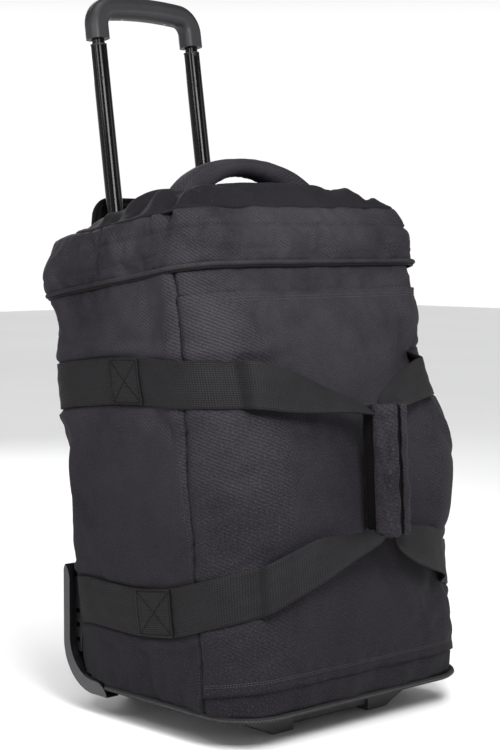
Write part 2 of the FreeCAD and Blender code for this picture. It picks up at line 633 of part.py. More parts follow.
def trolley_mid():
    """The middle stage: tubes with a slide bush at the foot and a guide collar at the head."""
    bushes, collars = [], []
    for name, side in SIDES:
        x = side * TUBE_X

        def at(w):
            return (x, TUBE_V, w)

        add(f"mid_tube_{name}", leaned(ring(MID_R, MID_BORE, at(MID_FOOT_W), at(MID_TOP_W))))
        bushes.append(ring(OUTER_BORE - RUN, MID_R, at(MID_FOOT_W), at(MID_FOOT_W + MID_BUSH_L)))
        collar = ring(MID_BORE, INNER_R + RUN, at(MID_TOP_W - MID_COLLAR_L), at(MID_TOP_W))
        flange = ring(MID_R, INNER_R + RUN, at(MID_TOP_W), at(MID_TOP_W + 2))
        collars.append(collar.fuse(flange).removeSplitter())
    add("mid_bushes", leaned(group(bushes)))
    add("mid_collars", leaned(group(collars)))


def trolley_inner():
    """The inner stage: tubes with lock plugs, joined by the grip."""
    plugs = []
    for name, side in SIDES:
        x = side * TUBE_X

        def at(w):
            return (x, TUBE_V, w)

        add(f"inner_tube_{name}", leaned(
            ring(INNER_R, INNER_BORE, at(INNER_FOOT_W), at(GRIP_FOOT_W + 22))))
        plug = rod(MID_BORE - RUN, at(INNER_FOOT_W - 14), at(INNER_FOOT_W))
        plug = plug.fuse(rod(INNER_BORE, at(INNER_FOOT_W), at(INNER_FOOT_W + 10)))
        pin_w, tip = INNER_FOOT_W - 7, x + side * (MID_BORE - RUN - 0.4)
        bore = rod(LOCK_PIN_R + RUN, (x - side * 5, TUBE_V, pin_w), (x + side * 20, TUBE_V, pin_w))
        plugs.append(plug.cut(bore).removeSplitter())
        add(f"lock_pin_{name}", leaned(
            rod(LOCK_PIN_R, (x - side * 2.5, TUBE_V, pin_w), (tip, TUBE_V, pin_w))))
    add("lock_plugs", leaned(group(plugs)))


def bar_w(x):
    """Middle line of the grip's crowned bar."""
    return GRIP_TOP_W - GRIP_LEG / 2 - GRIP_CROWN_R + math.sqrt(GRIP_CROWN_R ** 2 - x ** 2)


def grip_solid(inset):
    """The grip: one rounded section swept up a leg, along the crowned bar and down the other leg."""
    crown_r, middle_w = GRIP_CROWN_R, bar_w(0)
    lean = math.asin((TUBE_X - GRIP_BEND_R) / (crown_r - GRIP_BEND_R))
    bend_w = middle_w - crown_r + (crown_r - GRIP_BEND_R) * math.cos(lean)
    half_turn = (math.pi / 2 - lean) / 2

    def bend_point(turn):
        return (TUBE_X - GRIP_BEND_R * (1 - math.cos(turn)), TUBE_V, bend_w + GRIP_BEND_R * math.sin(turn))

    start, half, end = bend_point(0), bend_point(half_turn), bend_point(2 * half_turn)

    def left(point):
        return (-point[0], point[1], point[2])

    path = Part.Wire([
        line((-TUBE_X, TUBE_V, GRIP_FOOT_W), left(start)),
        arc(left(start), left(half), left(end)),
        arc(left(end), (0, TUBE_V, middle_w), end),
        arc(end, half, start),
        line(start, (TUBE_X, TUBE_V, GRIP_FOOT_W)),
    ])
    section = rounded_rect(-TUBE_X - GRIP_LEG / 2 + inset, -TUBE_X + GRIP_LEG / 2 - inset,
                           TUBE_V - GRIP_DEPTH / 2 + inset, TUBE_V + GRIP_DEPTH / 2 - inset,
                           GRIP_FOOT_W, 9.5 - inset)
    return path.makePipeShell([section], True, False)


def button_block(grow, low, high):
    """The button's rounded outline."""
    return rounded_block(-13 - grow, 13 + grow, TUBE_V - 5.5 - grow, TUBE_V + 5.5 + grow,
                         low, high, 5.4 + grow)


def grip():
    """Two grip shells over the release yoke, with the button, its leaf spring and the shell screws."""
    hollow = grip_solid(GRIP_WALL)
    hollow = hollow.cut(box(-200, 200, 0, 400, GRIP_FOOT_W - 1, GRIP_FOOT_W + 22))
    shell = grip_solid(0.0).cut(hollow)
    shell = shell.cut(button_block(0.4, GRIP_SPLIT_W, GRIP_TOP_W + 5))
    for _, side in SIDES:
        x = side * TUBE_X
        shell = shell.cut(rod(INNER_R, (x, TUBE_V, GRIP_FOOT_W - 1), (x, TUBE_V, GRIP_FOOT_W + 22)))
    below = box(-200, 200, 100, 300, GRIP_FOOT_W - 5, GRIP_SPLIT_W)
    lower, upper = shell.common(below), shell.cut(below)
    screw_x = 34.0
    screw_w = bar_w(screw_x) - GRIP_LEG / 2
    spots = [(x, TUBE_V, screw_w) for x in (-screw_x, screw_x)]
    for x, v, _ in spots:
        pillar = rod(3.0, (x, v, GRIP_SPLIT_W), (x, v, GRIP_TOP_W - 3))
        upper = upper.fuse(pillar.common(grip_solid(0.5)))
    holes = group([screw(1.3, 2.6, spot, (0, 0, 1), 17.0, False) for spot in spots])
    add("grip_lower_shell", leaned(lower.cut(holes).removeSplitter()))
    add("grip_upper_shell", leaned(upper.cut(holes).removeSplitter()))
    add("grip_screws", leaned(group([screw(1.3, 2.6, spot, (0, 0, 1), 17.0) for spot in spots])))
    release(spots)


def release(screw_spots):
    """What the thumb button moves: a yoke across the grip and a rod down each inner tube."""
    yoke_top = YOKE_W + YOKE_T
    add("grip_button", leaned(button_block(0.0, yoke_top, GRIP_TOP_W - 1.2)))
    yoke = box(-TUBE_X - 3, TUBE_X + 3, TUBE_V - 3, TUBE_V + 3, YOKE_W, yoke_top)
    for x, v, _ in screw_spots:
        yoke = yoke.fuse(rod(5.5, (x, v, YOKE_W), (x, v, yoke_top)))
        yoke = yoke.cut(rod(3.6, (x, v, YOKE_W - 1), (x, v, yoke_top + 1)))
    yoke = yoke.common(grip_solid(GRIP_WALL + 0.3)).removeSplitter()
    add("release_yoke", leaned(yoke))
    rod_foot = INNER_FOOT_W + 10 + BUTTON_TRAVEL + 0.6
    add("release_rods", leaned(group([
        rod(1.5, (side * TUBE_X, TUBE_V, rod_foot), (side * TUBE_X, TUBE_V, YOKE_W))
        for _, side in SIDES])))
    low, high = bar_w(0) - GRIP_LEG / 2 + GRIP_WALL + 0.1, YOKE_W - 0.05
    reach, leaf_t, half_leaf = 12.0, 0.5, 2.5
    leaf = face([
        arc((-reach, 0, low), (0, 0, high), (reach, 0, low)),
        line((reach, 0, low), (reach - 2 * leaf_t, 0, low)),
        arc((reach - 2 * leaf_t, 0, low), (0, 0, high - leaf_t), (2 * leaf_t - reach, 0, low)),
        line((2 * leaf_t - reach, 0, low), (-reach, 0, low)),
    ]).extrude(Vector(0, 2 * half_leaf, 0))
    add("button_spring", leaned(leaf.translated(Vector(0, TUBE_V - half_leaf, 0))))


def extent(shape):
    b = shape.optimalBoundingBox(False)
    return [round(c, 2) for c in (b.XMin, b.XMax, b.YMin, b.YMax, b.ZMin, b.ZMax)]


def main():
    soft_panels()
    top_end()
    piping()
    base_binding()
    hood()
    back_board()
    grab_handle()
    haul_loops()
    grip_wrap()
    side_zip()
    base_plate()
    stand()
    corner_guards()
    wheels()
    trolley_fixed()
    trolley_mid()
    trolley_inner()
    grip()
    os.makedirs("parts", exist_ok=True)
    for name, shape in NODES.items():
        shape.exportStep(os.path.join("parts", name + ".step"))
        state = "valid" if shape.isValid() else "NOT VALID"
        print(name, state, len(shape.Solids), "solids", round(shape.Volume / 1000, 2), "cm3",
              extent(shape))
    print(len(NODES), "nodes, whole box", extent(Part.makeCompound(list(NODES.values()))))


main()
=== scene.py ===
"""Looks of the rolling duffel bag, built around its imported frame.

Soft pieces are worked out in "leaned" millimetres (x, v, w): v runs towards the back and w up along the
trolley, because the body leans back. place() turns them into the frame's metres.
"""
import json
import math

import bpy
import numpy as np
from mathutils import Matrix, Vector, noise
from mathutils.bvhtree import BVHTree


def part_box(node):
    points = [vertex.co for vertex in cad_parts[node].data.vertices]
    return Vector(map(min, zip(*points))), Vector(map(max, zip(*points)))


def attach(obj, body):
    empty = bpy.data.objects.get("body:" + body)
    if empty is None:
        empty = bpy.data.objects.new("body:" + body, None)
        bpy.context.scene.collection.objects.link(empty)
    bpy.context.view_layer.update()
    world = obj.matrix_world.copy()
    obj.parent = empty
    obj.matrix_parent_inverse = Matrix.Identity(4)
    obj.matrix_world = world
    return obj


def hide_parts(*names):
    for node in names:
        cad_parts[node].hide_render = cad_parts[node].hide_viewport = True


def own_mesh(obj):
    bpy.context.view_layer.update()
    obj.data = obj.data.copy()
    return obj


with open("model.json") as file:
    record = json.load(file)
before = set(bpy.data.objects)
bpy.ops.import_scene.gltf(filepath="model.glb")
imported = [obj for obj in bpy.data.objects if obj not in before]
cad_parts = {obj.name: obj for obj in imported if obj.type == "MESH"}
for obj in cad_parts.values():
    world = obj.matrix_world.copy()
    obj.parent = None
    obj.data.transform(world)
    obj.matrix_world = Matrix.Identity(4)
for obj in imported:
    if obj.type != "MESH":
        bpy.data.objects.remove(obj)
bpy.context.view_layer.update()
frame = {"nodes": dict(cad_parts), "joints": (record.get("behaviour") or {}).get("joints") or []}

PI = math.pi
SIDES = (("left", -1), ("right", 1))


# ---------------------------------------------------------------- the frame's own sizes
def joint(name):
    return [j for j in frame["joints"] if j["name"] == name][0]


SIN, COS = joint("trolley_mid_slide")["axis"][1:]
STAND_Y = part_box("foot_left")[0].y * 1000


def place(points):
    """Leaned millimetres to the frame's metres."""
    p = np.asarray(points, float)
    x, v, w = p[..., 0], p[..., 1], p[..., 2]
    return np.stack([x, v * COS + w * SIN + STAND_Y, w * COS - v * SIN], -1) / 1000


def turn(vectors):
    """A leaned direction in the frame."""
    p = np.asarray(vectors, float)
    x, v, w = p[..., 0], p[..., 1], p[..., 2]
    return np.stack([x, v * COS + w * SIN, w * COS - v * SIN], -1)


def leaned(points):
    """The frame's metres to leaned millimetres."""
    p = np.asarray(points, float) * 1000
    x, y, z = p[..., 0], p[..., 1] - STAND_Y, p[..., 2]
    return np.stack([x, y * COS - z * SIN, y * SIN + z * COS], -1)


def leaned_box(node):
    """A node's lowest and highest leaned coordinates."""
    co = leaned([v.co for v in frame["nodes"][node].data.vertices])
    return co.min(0), co.max(0)


FRONT_LOW, FRONT_HIGH = leaned_box("front_panel")
BAND_LOW, BAND_HIGH = leaned_box("top_band")
DOME_LOW, DOME_HIGH = leaned_box("top_panel")
TUBE_LOW, TUBE_HIGH = leaned_box("mid_tube_right")
BEZEL_LOW, BEZEL_HIGH = leaned_box("trolley_bezel")
WRAP_LOW, WRAP_HIGH = leaned_box("grip_wrap")
HOOD_LOW, HOOD_HIGH = leaned_box("trolley_hood")
HANDLE_LOW, HANDLE_HIGH = leaned_box("grab_handle")
ZIP_LOW, ZIP_HIGH = leaned_box("zip_chain")

HALF_W = leaned_box("side_panel_right")[1][0]
BACK_V = leaned_box("back_panel")[1][1]
CORNER_R = HALF_W - leaned_box("back_panel")[1][0]
BELLY_V, HEM_LOW_W, HEM_TOP_W = FRONT_LOW[1], FRONT_LOW[2], FRONT_HIGH[2]
PIPING_W = leaned_box("front_upper_strip")[1][2]
HEAD_V, EDGE_W = BAND_LOW[1], BAND_HIGH[2]
DOME_HALF, DOME_FRONT_V, DOME_BACK_V, CROWN_W = DOME_HIGH[0], DOME_LOW[1], DOME_HIGH[1], DOME_HIGH[2]
BODY_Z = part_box("bottom_panel")[0].z * 1000
TUBE_X, TUBE_V = (TUBE_LOW[:2] + TUBE_HIGH[:2]) / 2
TUBE_R = (TUBE_HIGH[0] - TUBE_LOW[0]) / 2
TUBE_TOP_W = TUBE_HIGH[2]
HANDLE_V = (HANDLE_LOW[1] + HANDLE_HIGH[1]) / 2
ZIP_V = (ZIP_LOW[1] + ZIP_HIGH[1]) / 2

# stations around the body, in millimetres from the middle of the front
A_FRONT = HALF_W - CORNER_R
A_CORNER = A_FRONT + CORNER_R * PI / 2
A_SIDE = A_CORNER + BACK_V - BELLY_V - 2 * CORNER_R
A_REAR = A_SIDE + CORNER_R * PI / 2
A_END = A_REAR + HALF_W - CORNER_R


# ---------------------------------------------------------------- small maths
def ramp(x, low, high):
    t = np.clip((x - low) / (high - low), 0, 1)
    return t * t * (3 - 2 * t)


def bump(x, width):
    return np.exp(-(x / width) ** 2)


def profile(x, stations, spread=9):
    """A smooth curve near (place, value) stations."""
    places, values = zip(*stations)
    return np.mean([np.interp(x + k * spread, places, values) for k in (-2, -1, 0, 1, 2)], 0)


def noisy(points, size, seed=0.0):
    """Smooth noise from -1 to 1 at leaned points."""
    flat = np.asarray(points, float).reshape(-1, 3) / size + seed
    values = [noise.noise(p) for p in flat]
    return np.array(values).reshape(np.asarray(points).shape[:-1])


def creases(points, table):
    """Height at points of folds given as (start, end, width, height)."""
    total = np.zeros(points.shape[:-1])
    for start, end, width, height in table:
        a, b = np.array(start, float), np.array(end, float)
        t = np.clip(((points - a) @ (b - a)) / ((b - a) @ (b - a)), 0, 1)
        gap = np.linalg.norm(points - a - t[..., None] * (b - a), axis=-1)
        total += height * bump(gap, width) * (0.5 + 0.5 * np.sin(PI * t))
    return total


# ---------------------------------------------------------------- the body's outline
def half_width(w):
    """Half the trunk's width, front_v its front and back_v its back, at height w."""
    return profile(w, ((20, HALF_W - 3), (120, HALF_W - 0.5), (280, HALF_W + 1), (420, HALF_W - 0.5),
                       (478, HALF_W - 4), (490, HALF_W - 1)), 6)


def front_v(w):
    return profile(w, ((25, BELLY_V + 30), (70, BELLY_V + 17), (150, BELLY_V + 5), (275, BELLY_V - 1),
                       (400, BELLY_V + 11), (480, BELLY_V + 27), (490, HEAD_V)))


def back_v(w):
    return profile(w, ((30, BACK_V - 4), (70, BACK_V), (150, BACK_V), (240, BACK_V - 6), (330, BACK_V - 11),
                       (465, BACK_V - 11), (484, BACK_V - 6), (490, BACK_V - 2)), 6)


def outline(a, half, front, back, front_r, back_r):
    """A rounded rectangle at station a: x, v and the outward direction.

    Stations past the middle of the back run on from the other side.
    """
    a = np.where(a > A_END, a - 2 * A_END, a)
    s, side = np.abs(a), np.where(a < 0, -1.0, 1.0)
    where = [s < A_FRONT, s < A_CORNER, s < A_SIDE, s < A_REAR, s >= A_REAR]
    t_front = s / A_FRONT
    t_corner = (s - A_FRONT) / (A_CORNER - A_FRONT) * PI / 2
    t_side = (s - A_CORNER) / (A_SIDE - A_CORNER)
    t_rear = (s - A_SIDE) / (A_REAR - A_SIDE) * PI / 2
    t_back = np.clip((s - A_REAR) / (A_END - A_REAR), 0, 1)
    zero, one = np.zeros_like(s), np.ones_like(s)
    x = np.select(where, [t_front * (half - front_r), half - front_r + front_r * np.sin(t_corner), half * one,
                          half - back_r + back_r * np.cos(t_rear), (half - back_r) * (1 - t_back)])
    v = np.select(where, [front * one, front + front_r * (1 - np.cos(t_corner)),
                          front + front_r + t_side * (back - back_r - front - front_r),
                          back - back_r + back_r * np.sin(t_rear), back * one])
    nx = np.select(where, [zero, np.sin(t_corner), one, np.cos(t_rear), zero])
    nv = np.select(where, [-one, -np.cos(t_corner), zero, np.sin(t_rear), one])
    return x * side, v, nx * side, nv


def front_radius(w):
    """The front corners are rounder where the trunk is full."""
    return profile(w, ((25, CORNER_R + 4), (110, CORNER_R + 18), (230, CORNER_R + 27), (400, CORNER_R + 27),
                       (475, CORNER_R + 8), (490, CORNER_R)))


def back_radius(w):
    """The back corners draw in behind the corner guards."""
    return CORNER_R + 10 * ramp(w, 92, 120) * (1 - ramp(w, 150, 215))


def ring(a, w):
    """The trunk at station a and height w: points and outward directions."""
    a, w = np.broadcast_arrays(np.asarray(a, float), np.asarray(w, float))
    x, v, nx, nv = outline(a, half_width(w), front_v(w), back_v(w), front_radius(w), back_radius(w))
    return np.stack([x, v, w], -1), np.stack([nx, nv, np.zeros_like(w)], -1)


def seam_v(w):
    """The side seam of the front panel."""
    return profile(w, ((20, 3), (110, -4), (180, -8), (276, -13), (402, -20), (490, -17)))


def seam_a(w):
    """Station of the side seam, on the flat side or on the rounded corner."""
    radius = front_radius(w)
    front, back = front_v(w) + radius, back_v(w) - back_radius(w)
    past = seam_v(w) - front
    bend = np.arccos(np.clip(-past / radius, 0, 1)) / (PI / 2)
    return np.where(past > 0, A_CORNER + past / (back - front) * (A_SIDE - A_CORNER),
                    A_FRONT + bend * (A_CORNER - A_FRONT))


def all_round(count):
    """Evenly spaced stations once around the body."""
    return np.linspace(-A_END, A_END, count + 1)[:-1]


def base_w(a):
    """Height of the body's level bottom edge at station a."""
    points, _ = ring(a, np.full_like(np.asarray(a, float), 45.0))
    return (BODY_Z + 0.5 + points[..., 1] * SIN) / COS


# haul straps: (station, height of the strap's middle) along one side of the body
UPPER_STRAP = ((95, 357), (170, 367), (215, 376), (260, 381.5), (330, 387), (420, 389.5), (500, 389))
LOWER_STRAP = ((95, 168), (170, 152), (215, 143), (260, 139), (330, 142), (420, 156), (500, 158))
STRAP_HALF = 25.0


def strap_w(a, stations):
    return profile(np.abs(a), stations, 8)


def strap_mask(a, w):
    """One where a haul strap lies on the body."""
    total = 0.0
    for stations in (UPPER_STRAP, LOWER_STRAP):
        across = np.abs(w - strap_w(a, stations))
        total = total + (1 - ramp(across, STRAP_HALF - 1, STRAP_HALF + 7))
    return total * ramp(np.abs(a), A_FRONT - 8, A_FRONT + 14)


BODY_CREASES = (
    # left side, below and above the upper strap
    ((-180, 40, 470), (-180, 170, 440), 16, -3.0), ((-180, 150, 470), (-180, 215, 425), 10, 2.6),
    ((-180, 195, 455), (-180, 160, 425), 9, -3.0), ((-180, 60, 340), (-180, 190, 300), 18, 2.0),
    ((-180, 185, 345), (-180, 205, 250), 12, -2.6), ((-180, 120, 330), (-180, 200, 210), 14, -1.8),
    ((-180, 30, 250), (-180, 150, 205), 22, 2.2), ((-180, 165, 240), (-180, 130, 190), 10, 2.4),
    ((-180, 190, 215), (-180, 150, 185), 8, -2.2), ((-180, 20, 105), (-180, 120, 60), 16, -1.6),
    ((-180, -5, 110), (-180, 20, 92), 7, -2.4),
    # left front, under the hem and the straps
    ((-170, -60, 430), (-130, -75, 395), 12, -2.4), ((-150, -65, 450), (-110, -76, 400), 14, 2.2),
    ((-140, -78, 320), (-60, -80, 260), 26, 2.2), ((-170, -50, 200), (-110, -72, 130), 16, -2.0),
    ((-120, -70, 110), (-20, -72, 85), 13, -1.8), ((-60, -70, 120), (60, -72, 108), 18, 1.8),
    # folds that hang from the lower strap on the right
    ((20, -77, 180), (45, -72, 120), 8, -3.4), ((38, -77, 182), (66, -70, 108), 8, 3.2),
    ((60, -77, 184), (95, -68, 110), 8, -3.0), ((90, -75, 176), (128, -64, 118), 8, 2.6),
    ((118, -72, 168), (150, -50, 120), 8, -2.6), ((150, -62, 165), (166, -40, 100), 9, 2.2),
    # pull lines by the upper strap on the right
    ((110, -76, 330), (150, -66, 270), 8, -2.6), ((128, -74, 335), (160, -62, 260), 7, 2.4),
    ((150, -62, 420), (120, -74, 395), 10, -2.4), ((160, -52, 440), (150, -60, 380), 9, 2.0),
    # right side
    ((180, 20, 440), (180, 120, 420), 14, 2.2), ((180, 60, 330), (180, 180, 280), 16, -2.4),
    ((180, 20, 260), (180, 150, 215), 18, 2.0), ((180, 190, 340), (180, 205, 240), 12, -2.4),
    # back
    ((-110, 220, 440), (-60, 220, 330), 18, 2.4), ((90, 220, 450), (40, 220, 320), 20, -2.2),
    ((-90, 225, 200), (60, 225, 170), 24, -2.0), ((-30, 222, 300), (80, 222, 250), 22, 2.0),
    # lower strip
    ((-150, -45, 47), (-90, -52, 42), 8, -2.0), ((-60, -52, 50), (20, -53, 45), 9, 1.4),
)


# the right front corner, where the straps draw the cloth in: (height, outward movement)
RIGHT_CORNER = ((35, -3), (73, -3), (110, -7), (131, -12), (160, -13), (185, -9), (205, -1), (221, 3),
                (250, 7), (285, 9), (320, 6), (343, 1), (360, -6), (384, -19), (404, -10), (422, -1),
                (469, 3), (490, 0))
LEFT_CORNER_SHARE = 0.15    # how much of that the left corner shows


def corner_pull(a, w):
    """How far the front corner stands out, or is drawn in by the straps; it stops short of the side zip."""
    s = np.abs(a)
    here = ramp(s, A_FRONT - 35, A_FRONT + 20) * (1 - ramp(s, A_FRONT + 38, A_CORNER - 18))
    return profile(w, RIGHT_CORNER, 4) * here * np.where(np.asarray(a) > 0, 1.0, LEFT_CORNER_SHARE)


# (height in mm, size in mm, seed) of the trunk cloth's uneven swell
UNEVENNESS = ((3.6, 105.0, 3.1), (1.5, 44.0, 7.7), (0.45, 16.0, 1.3))


def softness(points, a, w):
    """Outward swell of the trunk's cloth: its folds, the press of the straps, and small unevenness."""
    swell = sum(height * noisy(points, size, seed) for height, size, seed in UNEVENNESS)
    swell = swell + creases(points, BODY_CREASES)
    flat_front = np.clip(1 - (points[..., 0] / A_FRONT) ** 2, 0, 1) * (points[..., 1] < 0)
    swell = swell + 2.5 * flat_front * np.sin(PI * np.clip((w - 40) / 440, 0, 1))
    press = strap_mask(a, w)
    for stations in (UPPER_STRAP, LOWER_STRAP):
        beside = np.abs(w - strap_w(a, stations)) - STRAP_HALF - 8
        swell = swell + 1.5 * bump(beside, 7) * (np.abs(a) > A_FRONT + 40)
    return swell * (1 - 0.85 * press) - 1.2 * press + corner_pull(a, w)


# ---------------------------------------------------------------- meshes
def make_object(name, vertices, faces, cloth=None):
    """A smooth mesh from points in the frame; cloth holds each one's place on the flat cloth, in mm."""
    mesh = bpy.data.meshes.new(name)
    mesh.from_pydata([tuple(p) for p in vertices], [], faces)
    if cloth is not None:
        layer = mesh.attributes.new("cloth", "FLOAT_VECTOR", "POINT")
        flat = np.zeros((len(vertices), 3), np.float32)
        flat[:, :2] = cloth
        layer.data.foreach_set("vector", flat.ravel())
    mesh.polygons.foreach_set("use_smooth", [True] * len(mesh.polygons))
    mesh.update()
    obj = bpy.data.objects.new(name, mesh)
    bpy.context.scene.collection.objects.link(obj)
    return obj


def grid_faces(rows, columns, closed=False, flip=False, capped=False):
    """Faces of a grid; a closed grid's rows are rings, and the last ring may be capped."""
    faces = []
    for i in range(rows - 1):
        for j in range(columns if closed else columns - 1):
            k = (j + 1) % columns
            quad = (i * columns + j, i * columns + k, (i + 1) * columns + k, (i + 1) * columns + j)
            faces.append(quad[::-1] if flip else quad)
    if capped:
        faces.append(tuple((rows - 1) * columns + k for k in range(columns)))
    return faces


def thicken(obj, thickness):
    """Gives a single layer its thickness, inwards, with a rim."""
    solid = obj.modifiers.new("thickness", "SOLIDIFY")
    solid.thickness = thickness / 1000
    solid.offset = -1.0
    solid.use_even_offset = False
    graph = bpy.context.evaluated_depsgraph_get()
    mesh = bpy.data.meshes.new_from_object(obj.evaluated_get(graph))
    obj.modifiers.clear()
    obj.data = mesh
    return obj


def grid_object(name, points, cloth, thickness, closed=False, flip=False, capped=False):
    """A sheet of cloth from a grid of leaned points."""
    faces = grid_faces(*points.shape[:2], closed, flip, capped)
    return thicken(make_object(name, place(points).reshape(-1, 3), faces, cloth.reshape(-1, 2)), thickness)


def dress(obj, material, body="bag", replaces=()):
    """Material, body and the frame's nodes that a piece stands for."""
    obj.data.materials.clear()
    obj.data.materials.append(material)
    if replaces:
        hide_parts(*replaces)
    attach(obj, body)
    return obj


def merged(objects):
    """Vertices and faces of several meshes in one list each."""
    vertices, faces = [], []
    for obj in objects:
        start = len(vertices)
        vertices += [v.co.copy() for v in obj.data.vertices]
        faces += [[start + i for i in p.vertices] for p in obj.data.polygons]
    return vertices, faces


def tree_of(*objects):
    """A search tree over several pieces' meshes."""
    return BVHTree.FromPolygons(*merged(objects))


def join(name, objects, material):
    """Joins meshes into one piece on the bag."""
    vertices, faces = merged(objects)
    for obj in objects:
        bpy.data.objects.remove(obj)
    return dress(make_object(name, vertices, faces), material)


def drop(tree, point, direction, reach=0.03):
    """The outermost surface point found from outside, and its normal."""
    start = Vector(point) + Vector(direction) * reach
    hit, normal, _, _ = tree.ray_cast(start, -Vector(direction), 2.5 * reach)
    if hit is None:
        return Vector(point), Vector(direction)
    return hit, normal


def dropped(tree, points, normals):
    """Surface points and normals under leaned points."""
    return [drop(tree, p, n) for p, n in zip(place(points), turn(normals))]


def tube(name, points, radius, sides=10, closed=False, squash=1.0):
    """A round bead along frame points (metres); radius in mm."""
    points = [Vector(p) for p in points]
    count = len(points)
    vertices, flat, run = [], [], 0.0
    up = Vector((0, 0, 1))
    for i, p in enumerate(points):
        before = points[(i - 1) % count] if closed or i else points[0]
        after = points[(i + 1) % count] if closed or i < count - 1 else points[-1]
        along = (after - before).normalized()
        side = along.cross(up)
        if side.length < 0.05:
            side = along.cross(Vector((0, 1, 0)))
        side.normalize()
        lift = side.cross(along).normalized()
        run += (p - points[i - 1]).length * 1000 if i else 0
        for k in range(sides):
            angle = 2 * PI * k / sides
            vertices.append(p + (side * math.cos(angle) + lift * math.sin(angle) * squash) * radius / 1000)
            flat.append((run, radius * angle))
    faces = []
    for i in range(count if closed else count - 1):
        for k in range(sides):
            m, n = (k + 1) % sides, (i + 1) % count
            faces.append((i * sides + k, i * sides + m, n * sides + m, n * sides + k))
    if not closed:
        faces.append(tuple(range(sides)))
        faces.append(tuple((count - 1) * sides + k for k in reversed(range(sides))))
    return make_object(name, vertices, faces, flat)


def stitches(name, path, pitch, length, width, lift=0.25, sway=0.0):
    """A row of sewn stitches: path is a list of (point, normal) in the frame, all in metres.

    pitch, length, width and lift are in mm; sway turns the stitches to and fro, as in a zigzag seam.
    """
    places = [Vector(p) for p, _ in path]
    normals = [Vector(n).normalized() for _, n in path]
    runs = [0.0]
    for a, b in zip(places, places[1:]):
        runs.append(runs[-1] + (b - a).length * 1000)
    vertices, faces = [], []
    count = int(runs[-1] / pitch)
    k = 0
    for i in range(count):
        run = (i + 0.5) * pitch
        while k < len(runs) - 2 and runs[k + 1] < run:
            k += 1
        t = (run - runs[k]) / max(runs[k + 1] - runs[k], 1e-6)
        middle = places[k].lerp(places[k + 1], t)
        normal = normals[k].lerp(normals[k + 1], t).normalized()
        along = (places[k + 1] - places[k]).normalized()
        side = normal.cross(along).normalized()
        swing = sway if i % 2 else -sway
        along = (along * math.cos(swing) + side * math.sin(swing)).normalized()
        side = normal.cross(along).normalized()
        middle = middle + normal * lift / 1000
        half, thick = length / 2000, width / 2000
        start = len(vertices)
        vertices.append(middle - along * half - normal * thick * 0.8)
        for along_at, size in ((-0.55, 0.85), (0.55, 0.85)):
            for corner in range(4):
                angle = PI / 2 * corner
                offset = side * math.cos(angle) + normal * math.sin(angle) * 0.8
                vertices.append(middle + along * half * along_at + offset * thick * size)
        vertices.append(middle + along * half - normal * thick * 0.8)
        for corner in range(4):
            after = (corner + 1) % 4
            faces.append((start, start + 1 + after, start + 1 + corner))
            faces.append((start + 1 + corner, start + 1 + after, start + 5 + after, start + 5 + corner))
            faces.append((start + 9, start + 5 + corner, start + 5 + after))
    return make_object(name, vertices, faces)


# ---------------------------------------------------------------- materials
class Shader:
    """A Principled material with a short way to add nodes."""

    def __init__(self, name, roughness, **sockets):
        self.material = bpy.data.materials.new(name)
        self.material.use_nodes = True
        self.nodes = self.material.node_tree.nodes
        self.links = self.material.node_tree.links
        self.shader = self.nodes["Principled BSDF"]
        self.shader.inputs["Roughness"].default_value = roughness
        for socket, value in sockets.items():
            self.shader.inputs[socket.replace("_", " ")].default_value = value

    def add(self, kind, *inputs, **named):
        """A node's first output, from its inputs in order or by name; other names are its settings."""
        node = self.nodes.new("ShaderNode" + kind)
        for socket, value in zip(node.inputs, inputs):
            self.give(socket, value)
        for key, value in named.items():
            if key in node.inputs:
                self.give(node.inputs[key], value)
            else:
                setattr(node, key, value)
        return node.outputs[0]

    def give(self, socket, value):
        if isinstance(value, bpy.types.NodeSocket):
            self.links.new(value, socket)
        else:
            socket.default_value = value

    def math(self, operation, a, b=0.0):
        return self.add("Math", a, b, operation=operation)

    def mix(self, factor, low, high):
        node = self.nodes.new("ShaderNodeMix")
        node.data_type = "RGBA"
        self.give(node.inputs[0], factor)
        for socket, value in ((node.inputs[6], low), (node.inputs[7], high)):
            self.give(socket, value if isinstance(value, bpy.types.NodeSocket) else (*value, 1))
        return node.outputs[2]

    def noise(self, where, scale, detail=3.0, roughness=0.55):
        return self.add("TexNoise", Vector=where, Scale=scale, Detail=detail, Roughness=roughness)

    def span(self, value, low, high, to_low=0.0, to_high=1.0):
        return self.add("MapRange", value, low, high, to_low, to_high)

    def place(self):
        """Place in the frame, in metres."""
        return self.nodes.new("ShaderNodeTexCoord").outputs["Object"]

    def axes(self, vector):
        """A vector's x, y and z."""
        node = self.nodes.new("ShaderNodeSeparateXYZ")
        self.links.new(vector, node.inputs[0])
        return node.outputs

    def drawn(self, vector, scale):
        """Fine noise drawn out along the axes with a small scale."""
        node = self.nodes.new("ShaderNodeMapping")
        self.links.new(vector, node.inputs[0])
        node.inputs["Scale"].default_value = scale
        return self.noise(node.outputs[0], 1.0, 3.0)

    def cloth(self):
        """Place on the flat cloth: along, across."""
        node = self.nodes.new("ShaderNodeAttribute")
        node.attribute_name = "cloth"
        along, across, _ = self.axes(node.outputs["Vector"])
        return node.outputs["Vector"], along, across

    def weighted(self, a, share_a, b, share_b):
        """The sum of two values, each times its share."""
        return self.math("ADD", self.math("MULTIPLY", a, share_a), self.math("MULTIPLY", b, share_b))

    def lines(self, value, period):
        """A wave from 0 to 1 with this period."""
        turns = self.math("MULTIPLY", value, 2 * PI / period)
        return self.span(self.math("SINE", turns), -1.0, 1.0)

    def relief(self, height, distance, strength):
        return self.add("Bump", Strength=strength, Distance=distance, Height=height)

    def finish(self, colour, normal=None, roughness=None):
        for socket, value in (("Base Color", colour), ("Normal", normal), ("Roughness", roughness)):
            if value is not None:
                self.links.new(value, self.shader.inputs[socket])
        return self.material


